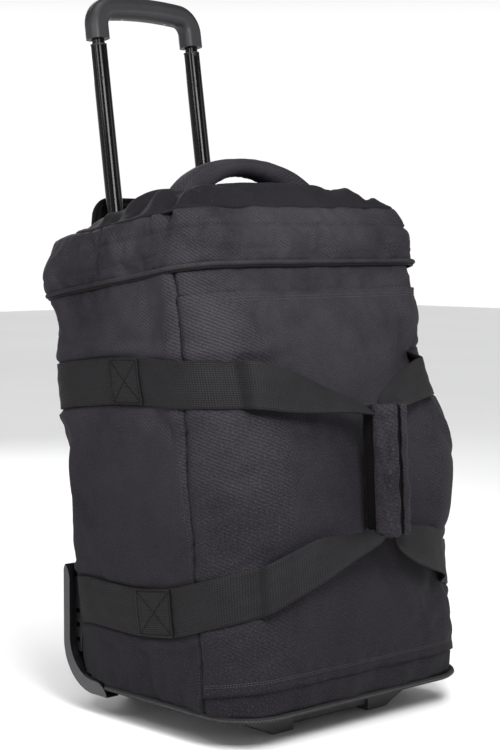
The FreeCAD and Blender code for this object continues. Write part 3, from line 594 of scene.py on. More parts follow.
def shade(colour, factor):
    return tuple(c * factor for c in colour)


TWILL_LOW, TWILL_HIGH = 0.62, 0.78      # the twill's slope: its ribs' shares along and across the cloth


def fabric(name, colour, twill=3.1, worn=0.5):
    """Coated polyester twill: diagonal ribs, paler fibres, soft uneven fading, and painted shade that darkens
    it towards the floor.
    """
    s = Shader(name, 0.76, Sheen_Weight=0.01, Sheen_Roughness=0.5, Specular_IOR_Level=0.06)
    where, along, across = s.cloth()
    spot = s.place()
    diagonal = s.weighted(along, TWILL_LOW, across, TWILL_HIGH)
    ribs = s.lines(s.weighted(diagonal, 1.0, s.noise(where, 0.05, 2.0), 1.5), twill)
    floats = s.lines(s.weighted(along, TWILL_HIGH, across, -TWILL_LOW), twill * 0.72)
    weave = s.math("MULTIPLY", ribs, s.span(floats, 0.0, 1.0, 0.55, 1.0))
    grain = s.noise(where, 0.62, 2.0, 0.75)
    fading = s.noise(spot, 9.0, 4.0, 0.6)
    smudge = s.noise(spot, 46.0, 3.0, 0.6)
    base = s.mix(s.span(fading, 0.32, 0.68), shade(colour, 1 - 0.7 * worn), shade(colour, 1 + 0.7 * worn))
    base = s.mix(s.span(smudge, 0.35, 0.75, 0.0, 0.5), base, shade(colour, 1.45))
    # painted shade: the cloth's colour darkens from half a metre above the floor down to it
    base = s.mix(s.span(s.axes(spot)[2], 0.0, 0.5, 0.92, 0.0), base, shade(colour, 0.3))
    base = s.mix(s.span(weave, 0.1, 0.9, 0.62, 0.0), base, shade(colour, 0.3))
    base = s.mix(s.span(grain, 0.5, 0.75, 0.0, 0.45), base, shade(colour, 2.6))
    normal = s.relief(weave, 0.00018, 0.45)
    return s.finish(base, normal, s.span(fading, 0.3, 0.7, 0.7, 0.82))


def webbing(name, colour, rib=2.3):
    """Woven strap: raised ribs along its length, crossed by fine weft lines."""
    s = Shader(name, 0.7, Sheen_Weight=0.01, Sheen_Roughness=0.45, Specular_IOR_Level=0.12)
    where, along, across = s.cloth()
    ribs = s.lines(across, rib)
    weft = s.lines(s.weighted(along, 1.0, ribs, 0.5), rib * 1.25)
    weave = s.math("MULTIPLY", s.span(ribs, 0.0, 1.0, 0.35, 1.0), s.span(weft, 0.0, 1.0, 0.3, 1.0))
    grain = s.noise(where, 1.6, 2.0, 0.7)
    fading = s.noise(where, 0.025, 3.0, 0.6)
    base = s.mix(s.span(fading, 0.3, 0.7), shade(colour, 0.82), shade(colour, 1.2))
    base = s.mix(s.span(weave, 0.15, 1.0, 0.72, 0.0), base, shade(colour, 0.22))
    base = s.mix(s.span(grain, 0.6, 0.8, 0.0, 0.4), base, shade(colour, 2.0))
    normal = s.relief(weave, 0.0006, 0.8)
    return s.finish(base, normal, s.span(weave, 0.0, 1.0, 0.8, 0.52))


def plastic(name, colour, roughness, texture, wear=0.5, painted_shade_front=False):
    """Moulded plastic: fine spark texture, faint flow marks and rubbed patches.

    The last flag paints shade on a corner guard's front faces and its inner web, leaving them near black.
    """
    s = Shader(name, roughness, Specular_IOR_Level=0.32)
    spot = s.place()
    fine = s.noise(spot, texture, 2.0, 0.6)
    flow = s.noise(spot, 22.0, 4.0, 0.6)
    scuffs = s.noise(spot, 150.0, 5.0, 0.75)
    base = s.mix(s.span(flow, 0.3, 0.7), shade(colour, 0.88), shade(colour, 1.12))
    base = s.mix(s.span(scuffs, 0.62, 0.78, 0.0, wear * 0.5), base, shade(colour, 2.0))
    # painted shade: faces turned to the front and the inner web of a corner guard are darkened to near black
    if painted_shade_front:
        facing = s.axes(s.nodes.new("ShaderNodeTexCoord").outputs["Normal"])
        base = s.mix(s.span(facing[1], -0.12, -0.5), base, shade(colour, 0.03))
        x, y, _ = s.axes(spot)
        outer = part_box("corner_guard_right")[1]
        inboard = s.math("LESS_THAN", s.math("ABSOLUTE", x), outer.x - 0.007)
        ahead = s.math("LESS_THAN", y, outer.y - 0.009)
        base = s.mix(s.math("MULTIPLY", inboard, ahead), base, shade(colour, 0.03))
    normal = s.relief(fine, 0.00012, 0.5)
    return s.finish(base, normal, s.span(scuffs, 0.35, 0.75, roughness - 0.06, roughness + 0.14))


def metal(name, colour, roughness, brushed=True):
    """Bare metal with draw lines along it, or a plain grain, and faint marks."""
    s = Shader(name, roughness, Metallic=1.0)
    spot = s.place()
    lines = s.drawn(spot, (900, 900, 40) if brushed else (300, 300, 300))
    marks = s.noise(spot, 60.0, 4.0, 0.7)
    base = s.mix(s.span(marks, 0.35, 0.7), shade(colour, 0.85), colour)
    gloss = s.span(lines, 0.3, 0.7, roughness - 0.06, roughness + 0.1)
    return s.finish(base, s.relief(lines, 0.00005, 0.4), gloss)


def lacquer(name, colour):
    """Gloss black lacquered tube: draw lines along it, fine rubbed rings and a few chips near its head."""
    s = Shader(name, 0.15, Specular_IOR_Level=0.13)
    spot = s.place()
    lines = s.drawn(spot, (500, 500, 9))
    chips = s.noise(spot, 210.0, 4.0, 0.7)
    head = float(place([TUBE_X, TUBE_V, TUBE_TOP_W])[2])
    near_head = s.span(s.axes(spot)[2], head - 0.05, head)
    chipped = s.math("MULTIPLY", s.span(chips, 0.64, 0.7), near_head)
    base = s.mix(s.span(lines, 0.3, 0.7), shade(colour, 0.8), shade(colour, 1.4))
    base = s.mix(chipped, base, (0.12, 0.115, 0.11))
    return s.finish(base, s.relief(lines, 0.00001, 0.2), s.span(chipped, 0.0, 1.0, 0.14, 0.55))


def rubber(name, colour):
    """Dull rubber with dust in its grain."""
    s = Shader(name, 0.78, Specular_IOR_Level=0.3)
    spot = s.place()
    dust = s.noise(spot, 70.0, 5.0, 0.7)
    fine = s.noise(spot, 700.0, 3.0)
    base = s.mix(s.span(dust, 0.45, 0.75, 0.0, 0.5), colour, shade(colour, 2.6))
    return s.finish(base, s.relief(fine, 0.0002, 0.6), s.span(dust, 0.3, 0.7, 0.68, 0.88))


def thread(name, colour):
    """Sewing thread, lighter and darker along its twist."""
    s = Shader(name, 0.7, Specular_IOR_Level=0.15)
    twist = s.noise(s.place(), 1800.0, 2.0)
    return s.finish(s.mix(s.span(twist, 0.35, 0.65), shade(colour, 0.65), shade(colour, 1.3)))


CHARCOAL = (0.0255, 0.0233, 0.0282)
CLOTH_MAT = fabric("charcoal_twill", CHARCOAL, worn=0.9)
# painted shade: the padded end and the ledge get a darker copy of the cloth, for a top lying in shade
SHADED_TOP_MAT = fabric("charcoal_twill_top_painted_shade", shade(CHARCOAL, 0.46), worn=0.6)
LINING_MAT = fabric("black_binding", (0.007, 0.0068, 0.0073), twill=1.8, worn=0.2)
WEBBING_MAT = webbing("ribbed_webbing", (0.0150, 0.0141, 0.0157))
TAPE_MAT = webbing("binding_tape", (0.026, 0.025, 0.027), rib=1.5)
BLACK_TAPE_MAT = webbing("black_tape", (0.0018, 0.0018, 0.002), rib=1.4)
THREAD_MAT = thread("thread_charcoal", (0.030, 0.028, 0.032))
LIGHT_THREAD_MAT = thread("thread_grey", (0.048, 0.045, 0.050))
DARK_THREAD_MAT = thread("thread_dark", (0.0045, 0.0042, 0.0047))
BLACK_THREAD_MAT = thread("thread_black", (0.0016, 0.0015, 0.0017))
PALE_THREAD_MAT = thread("thread_pale", (0.085, 0.082, 0.085))
GRIP_MAT = plastic("grip_plastic", (0.0175, 0.0164, 0.0193), 0.46, 700.0)
GUARD_MAT = plastic("guard_plastic", (0.038, 0.036, 0.041), 0.42, 800.0, painted_shade_front=True)
FOOT_MAT = plastic("foot_plastic", (0.042, 0.041, 0.044), 0.5, 800.0)
BLACK_PLASTIC_MAT = plastic("black_plastic", (0.008, 0.008, 0.0085), 0.5, 900.0)
TUBE_MAT = lacquer("black_lacquer", (0.0032, 0.0032, 0.0036))
ALUMINIUM_MAT = metal("drawn_aluminium", (0.62, 0.62, 0.63), 0.32)
STEEL_MAT = metal("zinc_steel", (0.48, 0.48, 0.49), 0.3, brushed=False)
BLACK_METAL_MAT = plastic("black_enamel", (0.012, 0.012, 0.013), 0.25, 400.0, 0.9)
TYRE_MAT = rubber("tyre_rubber", (0.020, 0.020, 0.021))


# ---------------------------------------------------------------- slack cloth, by simulation
SIM_FRAMES = 20
TRUNK_CAP = (-6, 3.5)       # how far in and out the simulation may move the trunk's cloth, in mm
BAND_CAP = (-5, 3)
DOME_CAP = (-5, 1.5)
SEAM_HALF = 4.2             # half width of the cloth held by a seam
GUARD_TOP_W = 185           # the cloth behind the corner guards is held up to here


def slack(points, pinned, shrink, pressure):
    """Lets rings of cloth, cut a little large, settle between their pins; gives how far each point moves.

    points is (rings, columns, 3) in leaned mm, pinned is true where the cloth is sewn down, and a negative
    shrink is how much too large it is cut.
    """
    faces = grid_faces(*points.shape[:2], closed=True)
    obj = make_object("slack_cloth", place(points).reshape(-1, 3), faces)
    group = obj.vertex_groups.new(name="pin")
    group.add([int(i) for i in np.flatnonzero(pinned)], 1.0, "REPLACE")
    cloth = obj.modifiers.new("cloth", "CLOTH")
    sewn = cloth.settings
    sewn.quality = 5
    sewn.mass = 0.25
    sewn.vertex_group_mass = "pin"
    sewn.tension_stiffness = sewn.compression_stiffness = 18
    sewn.shear_stiffness = 8
    sewn.bending_stiffness = 0.35
    sewn.shrink_min = shrink
    sewn.use_pressure = True
    sewn.uniform_pressure_force = pressure
    sewn.effector_weights.gravity = 0
    cloth.collision_settings.use_collision = False
    for step in range(1, SIM_FRAMES + 1):
        bpy.context.scene.frame_set(step)
    settled = obj.evaluated_get(bpy.context.evaluated_depsgraph_get()).data
    moved = leaned([v.co for v in settled.vertices]).reshape(points.shape) - points
    bpy.data.objects.remove(obj)
    bpy.context.scene.frame_set(1)
    return moved


def sampled(field, row, column):
    """Value of a field of rings at fractional rows and columns."""
    rows, columns = field.shape[:2]
    row, column = np.clip(row, 0, rows - 1.001), column % columns
    i, j = row.astype(int), column.astype(int)
    u, v = row - i, column - j
    j, k = j % columns, (j + 1) % columns
    return (field[i, j] * (1 - u) * (1 - v) + field[i + 1, j] * u * (1 - v)
            + field[i, k] * (1 - u) * v + field[i + 1, k] * u * v)


def slack_trunk():
    """Outward movement of the trunk's slack cloth, as a function of station and height."""
    rows, columns = 62, 176
    a, t = np.meshgrid(all_round(columns), np.linspace(0, 1, rows))
    low = base_w(a)
    w = low + t * (PIPING_W - low)
    points, normals = ring(a, w)
    points = points + normals * softness(points, a, w)[..., None]
    sewn = (t < 0.01) | (t > 0.99) | (strap_mask(a, w) > 0.6)
    sewn |= np.abs(np.abs(a) - seam_a(w)) < SEAM_HALF
    sewn |= (np.abs(w - HEM_TOP_W + 6) < SEAM_HALF) & (np.abs(a) < seam_a(w))
    sewn |= (np.abs(w - HEM_LOW_W - 4) < SEAM_HALF) & (np.abs(a) < seam_a(w))
    sewn |= (np.abs(a) > A_SIDE - 10) & (np.abs(a) < A_REAR) & (w < GUARD_TOP_W)
    out = np.clip(np.sum(slack(points, sewn, -0.035, 2.2) * normals, -1), *TRUNK_CAP)

    def value(at, height):
        at = (at + A_END) % (2 * A_END)
        foot = base_w(at - A_END)
        share = (height - foot) / (PIPING_W - foot)
        return sampled(out, share * (rows - 1), at / (2 * A_END) * columns)
    return value


TRUNK_SLACK = slack_trunk()


# ---------------------------------------------------------------- trunk panels
ZIP_HALF, ZIP_FADE = 5, 12      # half width of the zip's tape, and reach of its press on the cloth, in mm


def zip_mask(points):
    """One where the side zip lies on the right side of the body."""
    near = 1 - ramp(np.abs(points[..., 1] - ZIP_V), ZIP_HALF, ZIP_FADE)
    foot = ramp(points[..., 2], ZIP_LOW[2] - ZIP_FADE, ZIP_LOW[2])
    head = 1 - ramp(points[..., 2], ZIP_HIGH[2], ZIP_HIGH[2] + ZIP_FADE)
    return near * foot * head * (points[..., 0] > 0)


def trunk_points(a, w, extra):
    """The trunk's cloth with its folds, slack and the press of the zip."""
    points, normals = ring(a, w)
    swell = softness(points, a, w) + extra
    if TRUNK_SLACK is not None:
        swell = swell + TRUNK_SLACK(a, w) * (1 - strap_mask(a, w))
    under_zip = zip_mask(points)
    swell = swell * (1 - under_zip) - 0.8 * under_zip
    return points + normals * np.asarray(swell)[..., None]


MIDDLE_W = 260.0            # half way up the trunk, where a panel's width is taken
PANEL_STEP = 4.0            # size of a panel's mesh, in mm
PANEL_THICKNESS = 1.8


def trunk_panel(name, a_low, a_high, w_low, w_high, tuck, proud=0.0):
    """A sewn panel between stations a_low(w), a_high(w) and heights w_low(a), w_high.

    tuck holds how deep its first column, last column, bottom and top edges turn in, in mm.
    """
    width = abs(a_high(MIDDLE_W) - a_low(MIDDLE_W))
    height = w_high - float(np.mean(w_low(np.array([0.0, A_SIDE]))))
    columns, rows = max(8, int(width / PANEL_STEP)), max(5, int(height / PANEL_STEP))
    s, t = np.meshgrid(np.linspace(0, 1, columns), np.linspace(0, 1, rows))
    a = a_low(MIDDLE_W) + s * (a_high(MIDDLE_W) - a_low(MIDDLE_W))
    low = w_low(a)
    w = low + t * (w_high - low)
    a = a_low(w) + s * (a_high(w) - a_low(w))
    gaps = (np.abs(a - a_low(w)), np.abs(a_high(w) - a), w - low, w_high - w)
    extra = proud + sum(-depth * bump(gap, 3.4) + 0.8 * bool(depth) * bump(gap - 9, 6)
                        for gap, depth in zip(gaps, tuck))
    points = keep_clear(trunk_points(a, w, extra))
    return grid_object(name, points, np.stack([a, w], -1), PANEL_THICKNESS)


GUARD_TREE = tree_of(frame["nodes"]["corner_guard_left"], frame["nodes"]["corner_guard_right"])
GUARD_GAP = 0.0016      # metres left between the cloth and a corner guard


def keep_clear(points):
    """Draws cloth in where a corner guard stands."""
    flat = place(points).reshape(-1, 3)
    for i, p in enumerate(flat):
        if p[2] > 0.17 or abs(p[0]) < 0.07 or p[1] < 0.03:      # far from both guards
            continue
        inward = Vector((-math.copysign(1.0, p[0]), -0.55, 0.0)).normalized()
        spot = Vector(p)
        for _ in range(14):
            near, normal, _, gap = GUARD_TREE.find_nearest(spot, 0.03)
            if near is None or (gap > GUARD_GAP and (spot - near).dot(normal) > 0):
                break
            spot += inward * GUARD_GAP
        flat[i] = spot
    return leaned(flat).reshape(points.shape)


def constant(value):
    """A limit that is the same at every height or station."""
    return lambda x: np.full_like(np.asarray(x, float), value)


def left_seam(w):
    return -seam_a(w)


TRUNK_TOP_W = PIPING_W - 1


def trunk():
    """Side, back and front panels with their hems."""
    made = {}
    for name, side in SIDES:
        seam = seam_a if side > 0 else left_seam
        obj = trunk_panel(f"side_cloth_{name}", constant(side * A_REAR), seam, base_w, TRUNK_TOP_W,
                          (1.6, 2.4, 0.5, 1.5))
        made[f"side_panel_{name}"] = obj
    made["back_panel"] = trunk_panel("back_cloth", constant(A_REAR), constant(2 * A_END - A_REAR), base_w,
                                     TRUNK_TOP_W, (1.6, 1.6, 0.5, 1.5))
    fronts = (
        ("front_panel", "front_cloth", constant(HEM_LOW_W - 7), HEM_TOP_W + 1, (2.4, 2.4, -0.6, -0.6), 1.6),
        ("front_lower_strip", "front_lower_cloth", base_w, HEM_LOW_W + 6, (2.0, 2.0, 0.5, 3.0), -1.2),
        ("front_upper_strip", "front_upper_cloth", constant(HEM_TOP_W - 8), TRUNK_TOP_W, (2.0, 2.0, 4.0, 1.5),
         -1.8),
    )
    for node, name, low, high, tuck, proud in fronts:
        made[node] = trunk_panel(name, left_seam, seam_a, low, high, tuck, proud)
    for node, obj in made.items():
        dress(obj, CLOTH_MAT, replaces=(node,))
    return made


def floor_cloth():
    """The bottom panel, flat, from the body's lower edge inwards."""
    a = all_round(240)
    rim = keep_clear(ring(a, base_w(a))[0][None])[0]
    middle = rim.mean(0)
    points = np.stack([middle + (rim - middle) * r for r in (1.0, 0.985, 0.93, 0.8, 0.6, 0.35, 0.1)])
    frame_points = place(points)
    frame_points[..., 2] = BODY_Z / 1000 + 0.0015
    faces = grid_faces(len(points), len(a), closed=True, capped=True)
    obj = make_object("bottom_cloth", frame_points.reshape(-1, 3), faces, points[..., :2].reshape(-1, 2))
    thicken(obj, 2.0)
    return dress(obj, CLOTH_MAT, replaces=("bottom_panel",))


# ---------------------------------------------------------------- top band, padded end, ledge
BAND_CREASES = (
    ((-178, -4, 562), (-180, -12, 536), 9, -6.5), ((-178, -24, 552), (-176, -36, 540), 6, 3.0),
    ((-178, 12, 556), (-180, 4, 538), 7, 3.2), ((-176, -44, 545), (-172, -52, 500), 9, 3.0),
    ((-178, 20, 540), (-180, 60, 515), 12, -2.4), ((-178, 85, 545), (-180, 70, 520), 6, 2.6),
    ((-178, 120, 545), (-180, 100, 520), 7, -2.6), ((-178, 150, 540), (-180, 200, 505), 13, 2.4),
    ((-178, 90, 505), (-180, 30, 498), 8, -2.8), ((-150, -58, 540), (-110, -58, 512), 12, 2.2),
    ((-110, -58, 548), (-60, -58, 520), 12, -1.8), ((-40, -58, 545), (-10, -58, 522), 9, -2.2),
    ((10, -58, 549), (22, -57, 530), 7, 2.0), ((40, -57, 548), (60, -58, 534), 6, -2.4),
    ((62, -56, 549), (90, -58, 535), 6, 2.2), ((95, -56, 548), (118, -58, 530), 7, -3.2),
    ((112, -54, 550), (140, -58, 535), 6, 3.0), ((130, -54, 545), (168, -50, 528), 7, -2.6),
    ((150, -50, 520), (170, -40, 505), 8, -1.8), ((178, 20, 545), (180, 60, 510), 12, 2.4),
    ((178, 110, 545), (180, 140, 505), 12, -2.4), ((-60, 225, 545), (-20, 225, 505), 14, 2.0),
    ((60, 225, 545), (100, 225, 505), 14, -2.0), ((-178, 190, 548), (-150, 218, 520), 10, -2.6),
    ((-170, -30, 515), (-120, -58, 502), 9, -1.6), ((-90, -58, 503), (-20, -58, 500), 8, 1.2),
)
# the padded end's folds lie in its plan: places are (x, v)
DOME_CREASES = (
    ((-165, -6), (-140, 10), 8, -7.0), ((-166, -26), (-132, -10), 7, 4.4), ((-140, 10), (-96, 34), 9, -4.4),
    ((-132, -10), (-90, 0), 8, 1.4), ((-166, 20), (-120, 44), 8, 3.2), ((-150, -34), (-112, -22), 6, -3.0),
    ((-120, -36), (-85, -10), 8, 0.8), ((-60, -38), (-40, -12), 7, -2.4), ((-10, -38), (20, -6), 8, 1.6),
    ((30, -36), (52, 0), 6, -1.6), ((60, -38), (96, 20), 6, -1.6), ((80, -38), (120, 12), 6, 1.8),
    ((104, -38), (146, 6), 5, -2.0), ((120, -36), (158, -2), 5, 1.4), ((140, 0), (164, -16), 5, -1.6),
    ((130, 40), (164, 20), 9, 1.2), ((-60, 0), (60, -4), 16, 1.4), ((-110, 50), (-160, 60), 12, -3.4),
    ((-150, 90), (-100, 66), 10, 3.4), ((-166, 84), (-140, 92), 6, -3.0),
    ((-166, 106), (-140, 110), 6, 2.6), ((130, 80), (164, 100), 12, -1.6), ((0, 100), (30, 160), 12, -1.8),
    ((-60, 110), (-90, 165), 12, 2.0),
)


BAND_HEM_W = 507.0          # the band's stitched hem, over its recessed foot
BAND_FOLD_W = 531.0         # the stitched fold along the band's front and sides
BAND_SEAM_V = 104.0         # the upright seams on the band's sides
BAND_SIDE = BACK_V - HEAD_V - 2 * CORNER_R
BAND_SEAM_A = A_CORNER + (BAND_SEAM_V - HEAD_V - CORNER_R) / BAND_SIDE * (A_SIDE - A_CORNER)


def band_ring(a, w, inset=0.0):
    """The band at station a and height w: points and outward directions."""
    x, v, nx, nv = outline(a, HALF_W, HEAD_V, BACK_V - 5, CORNER_R, CORNER_R)
    return np.stack([x - nx * inset, v - nv * inset, w], -1), np.stack([nx, nv, np.zeros_like(w)], -1)


def rim_wave(points):
    """How the edge between the band and the padded end rises and falls."""
    return 2.2 * noisy(points * (1, 1, 0), 30, 9.1)


def band():
    """The band over the piping, with its seams and the stitched fold."""
    columns, rows = 330, 22
    a, t = np.meshgrid(all_round(columns), np.linspace(0, 1, rows))
    low, high = PIPING_W - 0.5, EDGE_W
    w = low + t * (high - low)
    inset = 13.0 * t ** 2.4 - 2.4 * np.sin(PI * t)
    points, normals = band_ring(a, w, inset)
    plain, _ = band_ring(a, w)
    swell = 1.5 * creases(plain, BAND_CREASES) + 1.2 * noisy(points, 60, 5.5) + 0.7 * noisy(points, 22, 2.2)
    ahead = (np.abs(a) < BAND_SEAM_A).astype(float)
    swell -= 2.0 * bump(w - BAND_FOLD_W, 2.2) * ahead
    swell -= 2.4 * bump(np.abs(a) - BAND_SEAM_A, 2.0)
    swell += 1.0 * bump(np.abs(a) - BAND_SEAM_A + 6, 4)
    recess = ramp(a, -40, 10) * (1 - ramp(a, A_CORNER + 10, A_CORNER + 40))
    swell -= 2.4 * (1 - ramp(w, BAND_HEM_W - 4.5, BAND_HEM_W - 2)) * recess * ramp(w, 488, 492)
    swell -= 0.7 * bump(w - BAND_HEM_W, 1.6)
    swell *= 1 - 0.7 * bump(w - low, 3)
    swell -= 1.6 * bump(w - low, 2.6)
    points[..., 2] += rim_wave(points) * t ** 3
    points = points + normals * swell[..., None]
    sewn = (t < 0.02) | (t > 0.99) | (np.abs(np.abs(a) - BAND_SEAM_A) < 3)
    sewn |= (np.abs(w - BAND_FOLD_W) < 1.6) & (ahead > 0)
    out = np.sum(slack(points, sewn, -0.035, 2.0) * normals, -1)
    points = points + normals * np.clip(out, *BAND_CAP)[..., None]
    obj = grid_object("band_cloth", points, np.stack([a, w], -1), 1.8, closed=True)
    return dress(obj, CLOTH_MAT, replaces=("top_band",))


def dome_height(x, v, r):
    """The pillow's rise over its edge; r is 1 at its rim and near 0 in its middle."""
    along = np.clip(1 - np.abs(x / (DOME_HALF + 1)) ** 5, 0, 1) ** 0.8
    middle, reach = (DOME_FRONT_V + DOME_BACK_V) / 2, (DOME_BACK_V - DOME_FRONT_V) / 2 + 1
    across = np.clip(1 - np.abs((v - middle) / reach) ** 2.7, 0, 1) ** 0.72
    return (CROWN_W - EDGE_W + 1) * along * across * np.clip(1 - r ** 12, 0, 1) ** 0.4


DOME_FRONT_R, DOME_BACK_R = 38.0, 34.0      # the padded end's corners in plan
TROUGH_TURN = math.radians(43)


def dome_sag(x, v):
    """The padded end has sunk towards its left end, in a trough that runs to the back."""
    across = (x + TUBE_X) * math.cos(TROUGH_TURN) - (v - TUBE_V) * math.sin(TROUGH_TURN)
    return 0.30 * bump(across - 12, 40) * ramp(v, -60, 10)


def dome():
    """The padded end: a pillow that fills the band's outline in front of the trolley ledge."""
    columns, rows = 300, 46
    a, r = np.meshgrid(all_round(columns), 1 - np.linspace(0, 1, rows) ** 1.15 * 0.985)
    x, v, _, _ = outline(a, DOME_HALF, DOME_FRONT_V, DOME_BACK_V, DOME_FRONT_R, DOME_BACK_R)
    middle = (DOME_FRONT_V + DOME_BACK_V) / 2
    x, v = x * r, middle + (v - middle) * r
    w = EDGE_W - 0.5 + dome_height(x, v, r) * (1 - dome_sag(x, v))
    points = np.stack([x, v, w], -1)
    swell = 1.8 * creases(points[..., :2], DOME_CREASES)
    swell = swell + 1.5 * noisy(points, 70, 4.4) + 0.8 * noisy(points, 26, 8.8)
    edge = 1 - r
    ridge = 1.0 * bump(edge - 0.02, 0.02) + rim_wave(points) * bump(edge, 0.07)
    press = bump(np.maximum(np.abs(x) - 92, 0), 18) * bump(v - HANDLE_V, 24) * ramp(np.abs(x), 52, 70)
    points[..., 2] += swell * ramp(edge, 0.0, 0.06) + ridge - 1.5 * press
    points[..., 2] += slack_dome(points, edge, press)
    obj = grid_object("top_cloth", points, np.stack([x, v], -1), 2.0, closed=True, capped=True)
    dress(obj, SHADED_TOP_MAT, replaces=("top_panel",))
    return obj


def slack_dome(points, edge, press):
    """Rise and fall of the padded end's slack cloth between its rim and the handle's seats."""
    rows, columns = 24, 110
    i = np.linspace(0, points.shape[0] - 1.001, rows)
    j = np.arange(columns) * points.shape[1] / columns
    j, i = np.meshgrid(j, i)
    pick = (i.astype(int), j.astype(int))
    sewn = (edge[pick] < 0.02) | (edge[pick] > 0.88) | (press[pick] > 0.5)
    rise = np.clip(slack(points[pick], sewn, -0.03, 1.5)[..., 2], *DOME_CAP)
    all_rows, all_columns = points.shape[:2]
    row, column = np.mgrid[0:all_rows, 0:all_columns]
    return sampled(rise, row * (rows - 1) / (all_rows - 1), column * columns / all_columns)


BEZEL_HALF_X = BEZEL_HIGH[0] + 0.5
BEZEL_HALF_V = (BEZEL_HIGH[1] - BEZEL_LOW[1]) / 2 + 0.5
BEZEL_R = 12.5


def bezel_gap(x, v):
    """Distance outside the bezel's rounded outline, in mm; negative inside it."""
    dx, dv = np.abs(x) - (BEZEL_HALF_X - BEZEL_R), np.abs(v - TUBE_V) - (BEZEL_HALF_V - BEZEL_R)
    outside = np.hypot(np.maximum(dx, 0), np.maximum(dv, 0))
    return outside + np.minimum(np.maximum(dx, dv), 0) - BEZEL_R


def ledge():
    """The flat cloth behind the padded end, cut out for the bezel that the trolley comes out of."""
    rows, columns, near = 26, 140, 1.5
    back = BACK_V - 13
    x, v = np.meshgrid(np.linspace(-1, 1, columns), np.linspace(DOME_BACK_V - 6, back, rows))
    x = x * (DOME_HALF - 3 - 22 * ramp(v, back - 33, back))
    gap, e = bezel_gap(x, v), 0.01
    slope_x = (bezel_gap(x + e, v) - bezel_gap(x - e, v)) / (2 * e)
    slope_v = (bezel_gap(x, v + e) - bezel_gap(x, v - e)) / (2 * e)
    to_edge = np.where(np.abs(gap) < near, gap, 0)
    x, v = x - to_edge * slope_x, v - to_edge * slope_v
    w = EDGE_W - 3.2 + 0.7 * noisy(np.stack([x, v, 0 * x], -1), 30, 1.0)
    w -= 1.6 * bump(np.abs(x) - 100, 14)
    kept = (gap > -near).ravel()
    faces = [f for f in grid_faces(rows, columns) if all(kept[i] for i in f)]
    used = sorted({i for f in faces for i in f})
    place_of = {old: new for new, old in enumerate(used)}
    points = np.stack([x, v, w], -1).reshape(-1, 3)[used]
    flat = np.stack([x, v], -1).reshape(-1, 2)[used]
    obj = make_object("ledge_cloth", place(points), [[place_of[i] for i in f] for f in faces], flat)
    return dress(thicken(obj, 1.6), SHADED_TOP_MAT, replaces=("rear_ledge",))


def hood():
    """The flap that stands open behind the tubes, with its bound rim."""
    half, top, foot = HOOD_HIGH[0], HOOD_HIGH[2], EDGE_W - 5
    corner, v_mid = 30.0, (HOOD_LOW[1] + HOOD_HIGH[1]) / 2
    columns, rows = 60, 18
    x, t = np.meshgrid(np.linspace(-half, half, columns), np.linspace(0, 1, rows))
    over = np.clip(np.abs(x) - (half - corner), 0, corner)
    head = top - corner + np.sqrt(np.maximum(corner ** 2 - over ** 2, 0))
    w = foot + t * (head - foot)
    v = v_mid + 1.5 - 5.0 * (x / half) ** 2 + 0.8 * noisy(np.stack([x, 0 * x, w], -1), 25, 2.0)
    points = np.stack([x, v, w], -1)
    obj = grid_object("hood_cloth", points, np.stack([x, w], -1), 2.4)
    dress(obj, LINING_MAT, replaces=("trolley_hood",))
    edge = np.concatenate([points[:, -1], points[-1, columns - 2:0:-1], points[::-1, 0]])
    rim = tube("hood_rim", place(edge + (0, -1.2, 0)), 2.3)
    dress(rim, BLACK_TAPE_MAT, replaces=("hood_binding",))
    inner = np.minimum(edge * (0.93, 1, 1) - (0, 2.0, 0), (np.inf, np.inf, top - 7))
    second = tube("hood_rim_inner", place(inner), 1.3)
    dress(second, BLACK_TAPE_MAT)
    return obj


# ---------------------------------------------------------------- straps
def smooth_path(stations, step):
    """Catmull-Rom through stations (n, k), resampled about every step mm of the first three columns."""
    p = np.array(stations, float)
    p = np.vstack([2 * p[0] - p[1], p, 2 * p[-1] - p[-2]])
    out = []
    for i in range(1, len(p) - 2):
        length = np.linalg.norm(p[i + 1][:3] - p[i][:3])
        count = max(2, int(length / step))
        for t in np.linspace(0, 1, count, endpoint=False):
            a, b, c, d = p[i - 1:i + 3]
            out.append(0.5 * (2 * b + (c - a) * t + (2 * a - 5 * b + 4 * c - d) * t ** 2
                              + (3 * b - a - 3 * c + d) * t ** 3))
    out.append(p[-2])
    return np.array(out)


STRAP_COLUMNS = 15
STRAP_STEP = 3.5            # size of a strap's mesh along it, in mm
STRAP_BOW, STRAP_RIPPLE = 0.8, 0.25     # how far a strap bows and ripples across its width, in mm


def ribbon(edges):
    """A strap's points and cloth places: edges is a list of (top edge, bottom edge) leaned points."""
    both = smooth_path([list(top) + list(low) for top, low in edges], STRAP_STEP)
    tops, lows = both[:, :3], both[:, 3:]
    runs = np.concatenate([[0], np.cumsum(np.linalg.norm(np.diff((tops + lows) / 2, axis=0), axis=1))])
    t = np.linspace(0, 1, STRAP_COLUMNS)
    points = tops[:, None] * (1 - t)[None, :, None] + lows[:, None] * t[None, :, None]
    along = np.gradient((tops + lows) / 2, axis=0)
    out = np.cross(along, tops - lows)
    out /= np.linalg.norm(out, axis=1, keepdims=True)
    lift = STRAP_BOW * np.sin(PI * t) + STRAP_RIPPLE * np.cos(2 * PI * t * 3)
    points = points + out[:, None] * lift[None, :, None]
    points = points + out[:, None] * (0.5 * noisy(points, 22, 6.0))[..., None]
    widths = t[None] * STRAP_HALF * 2 * np.ones_like(runs)[:, None]
    flat = np.stack([np.repeat(runs[:, None], STRAP_COLUMNS, 1), widths], -1)
    return points, flat


ZIP_A = A_CORNER - 8.0          # the side zip's station
STRAP_CLEARANCE = 2.6           # of a strap's outer face from the cloth under it, in mm


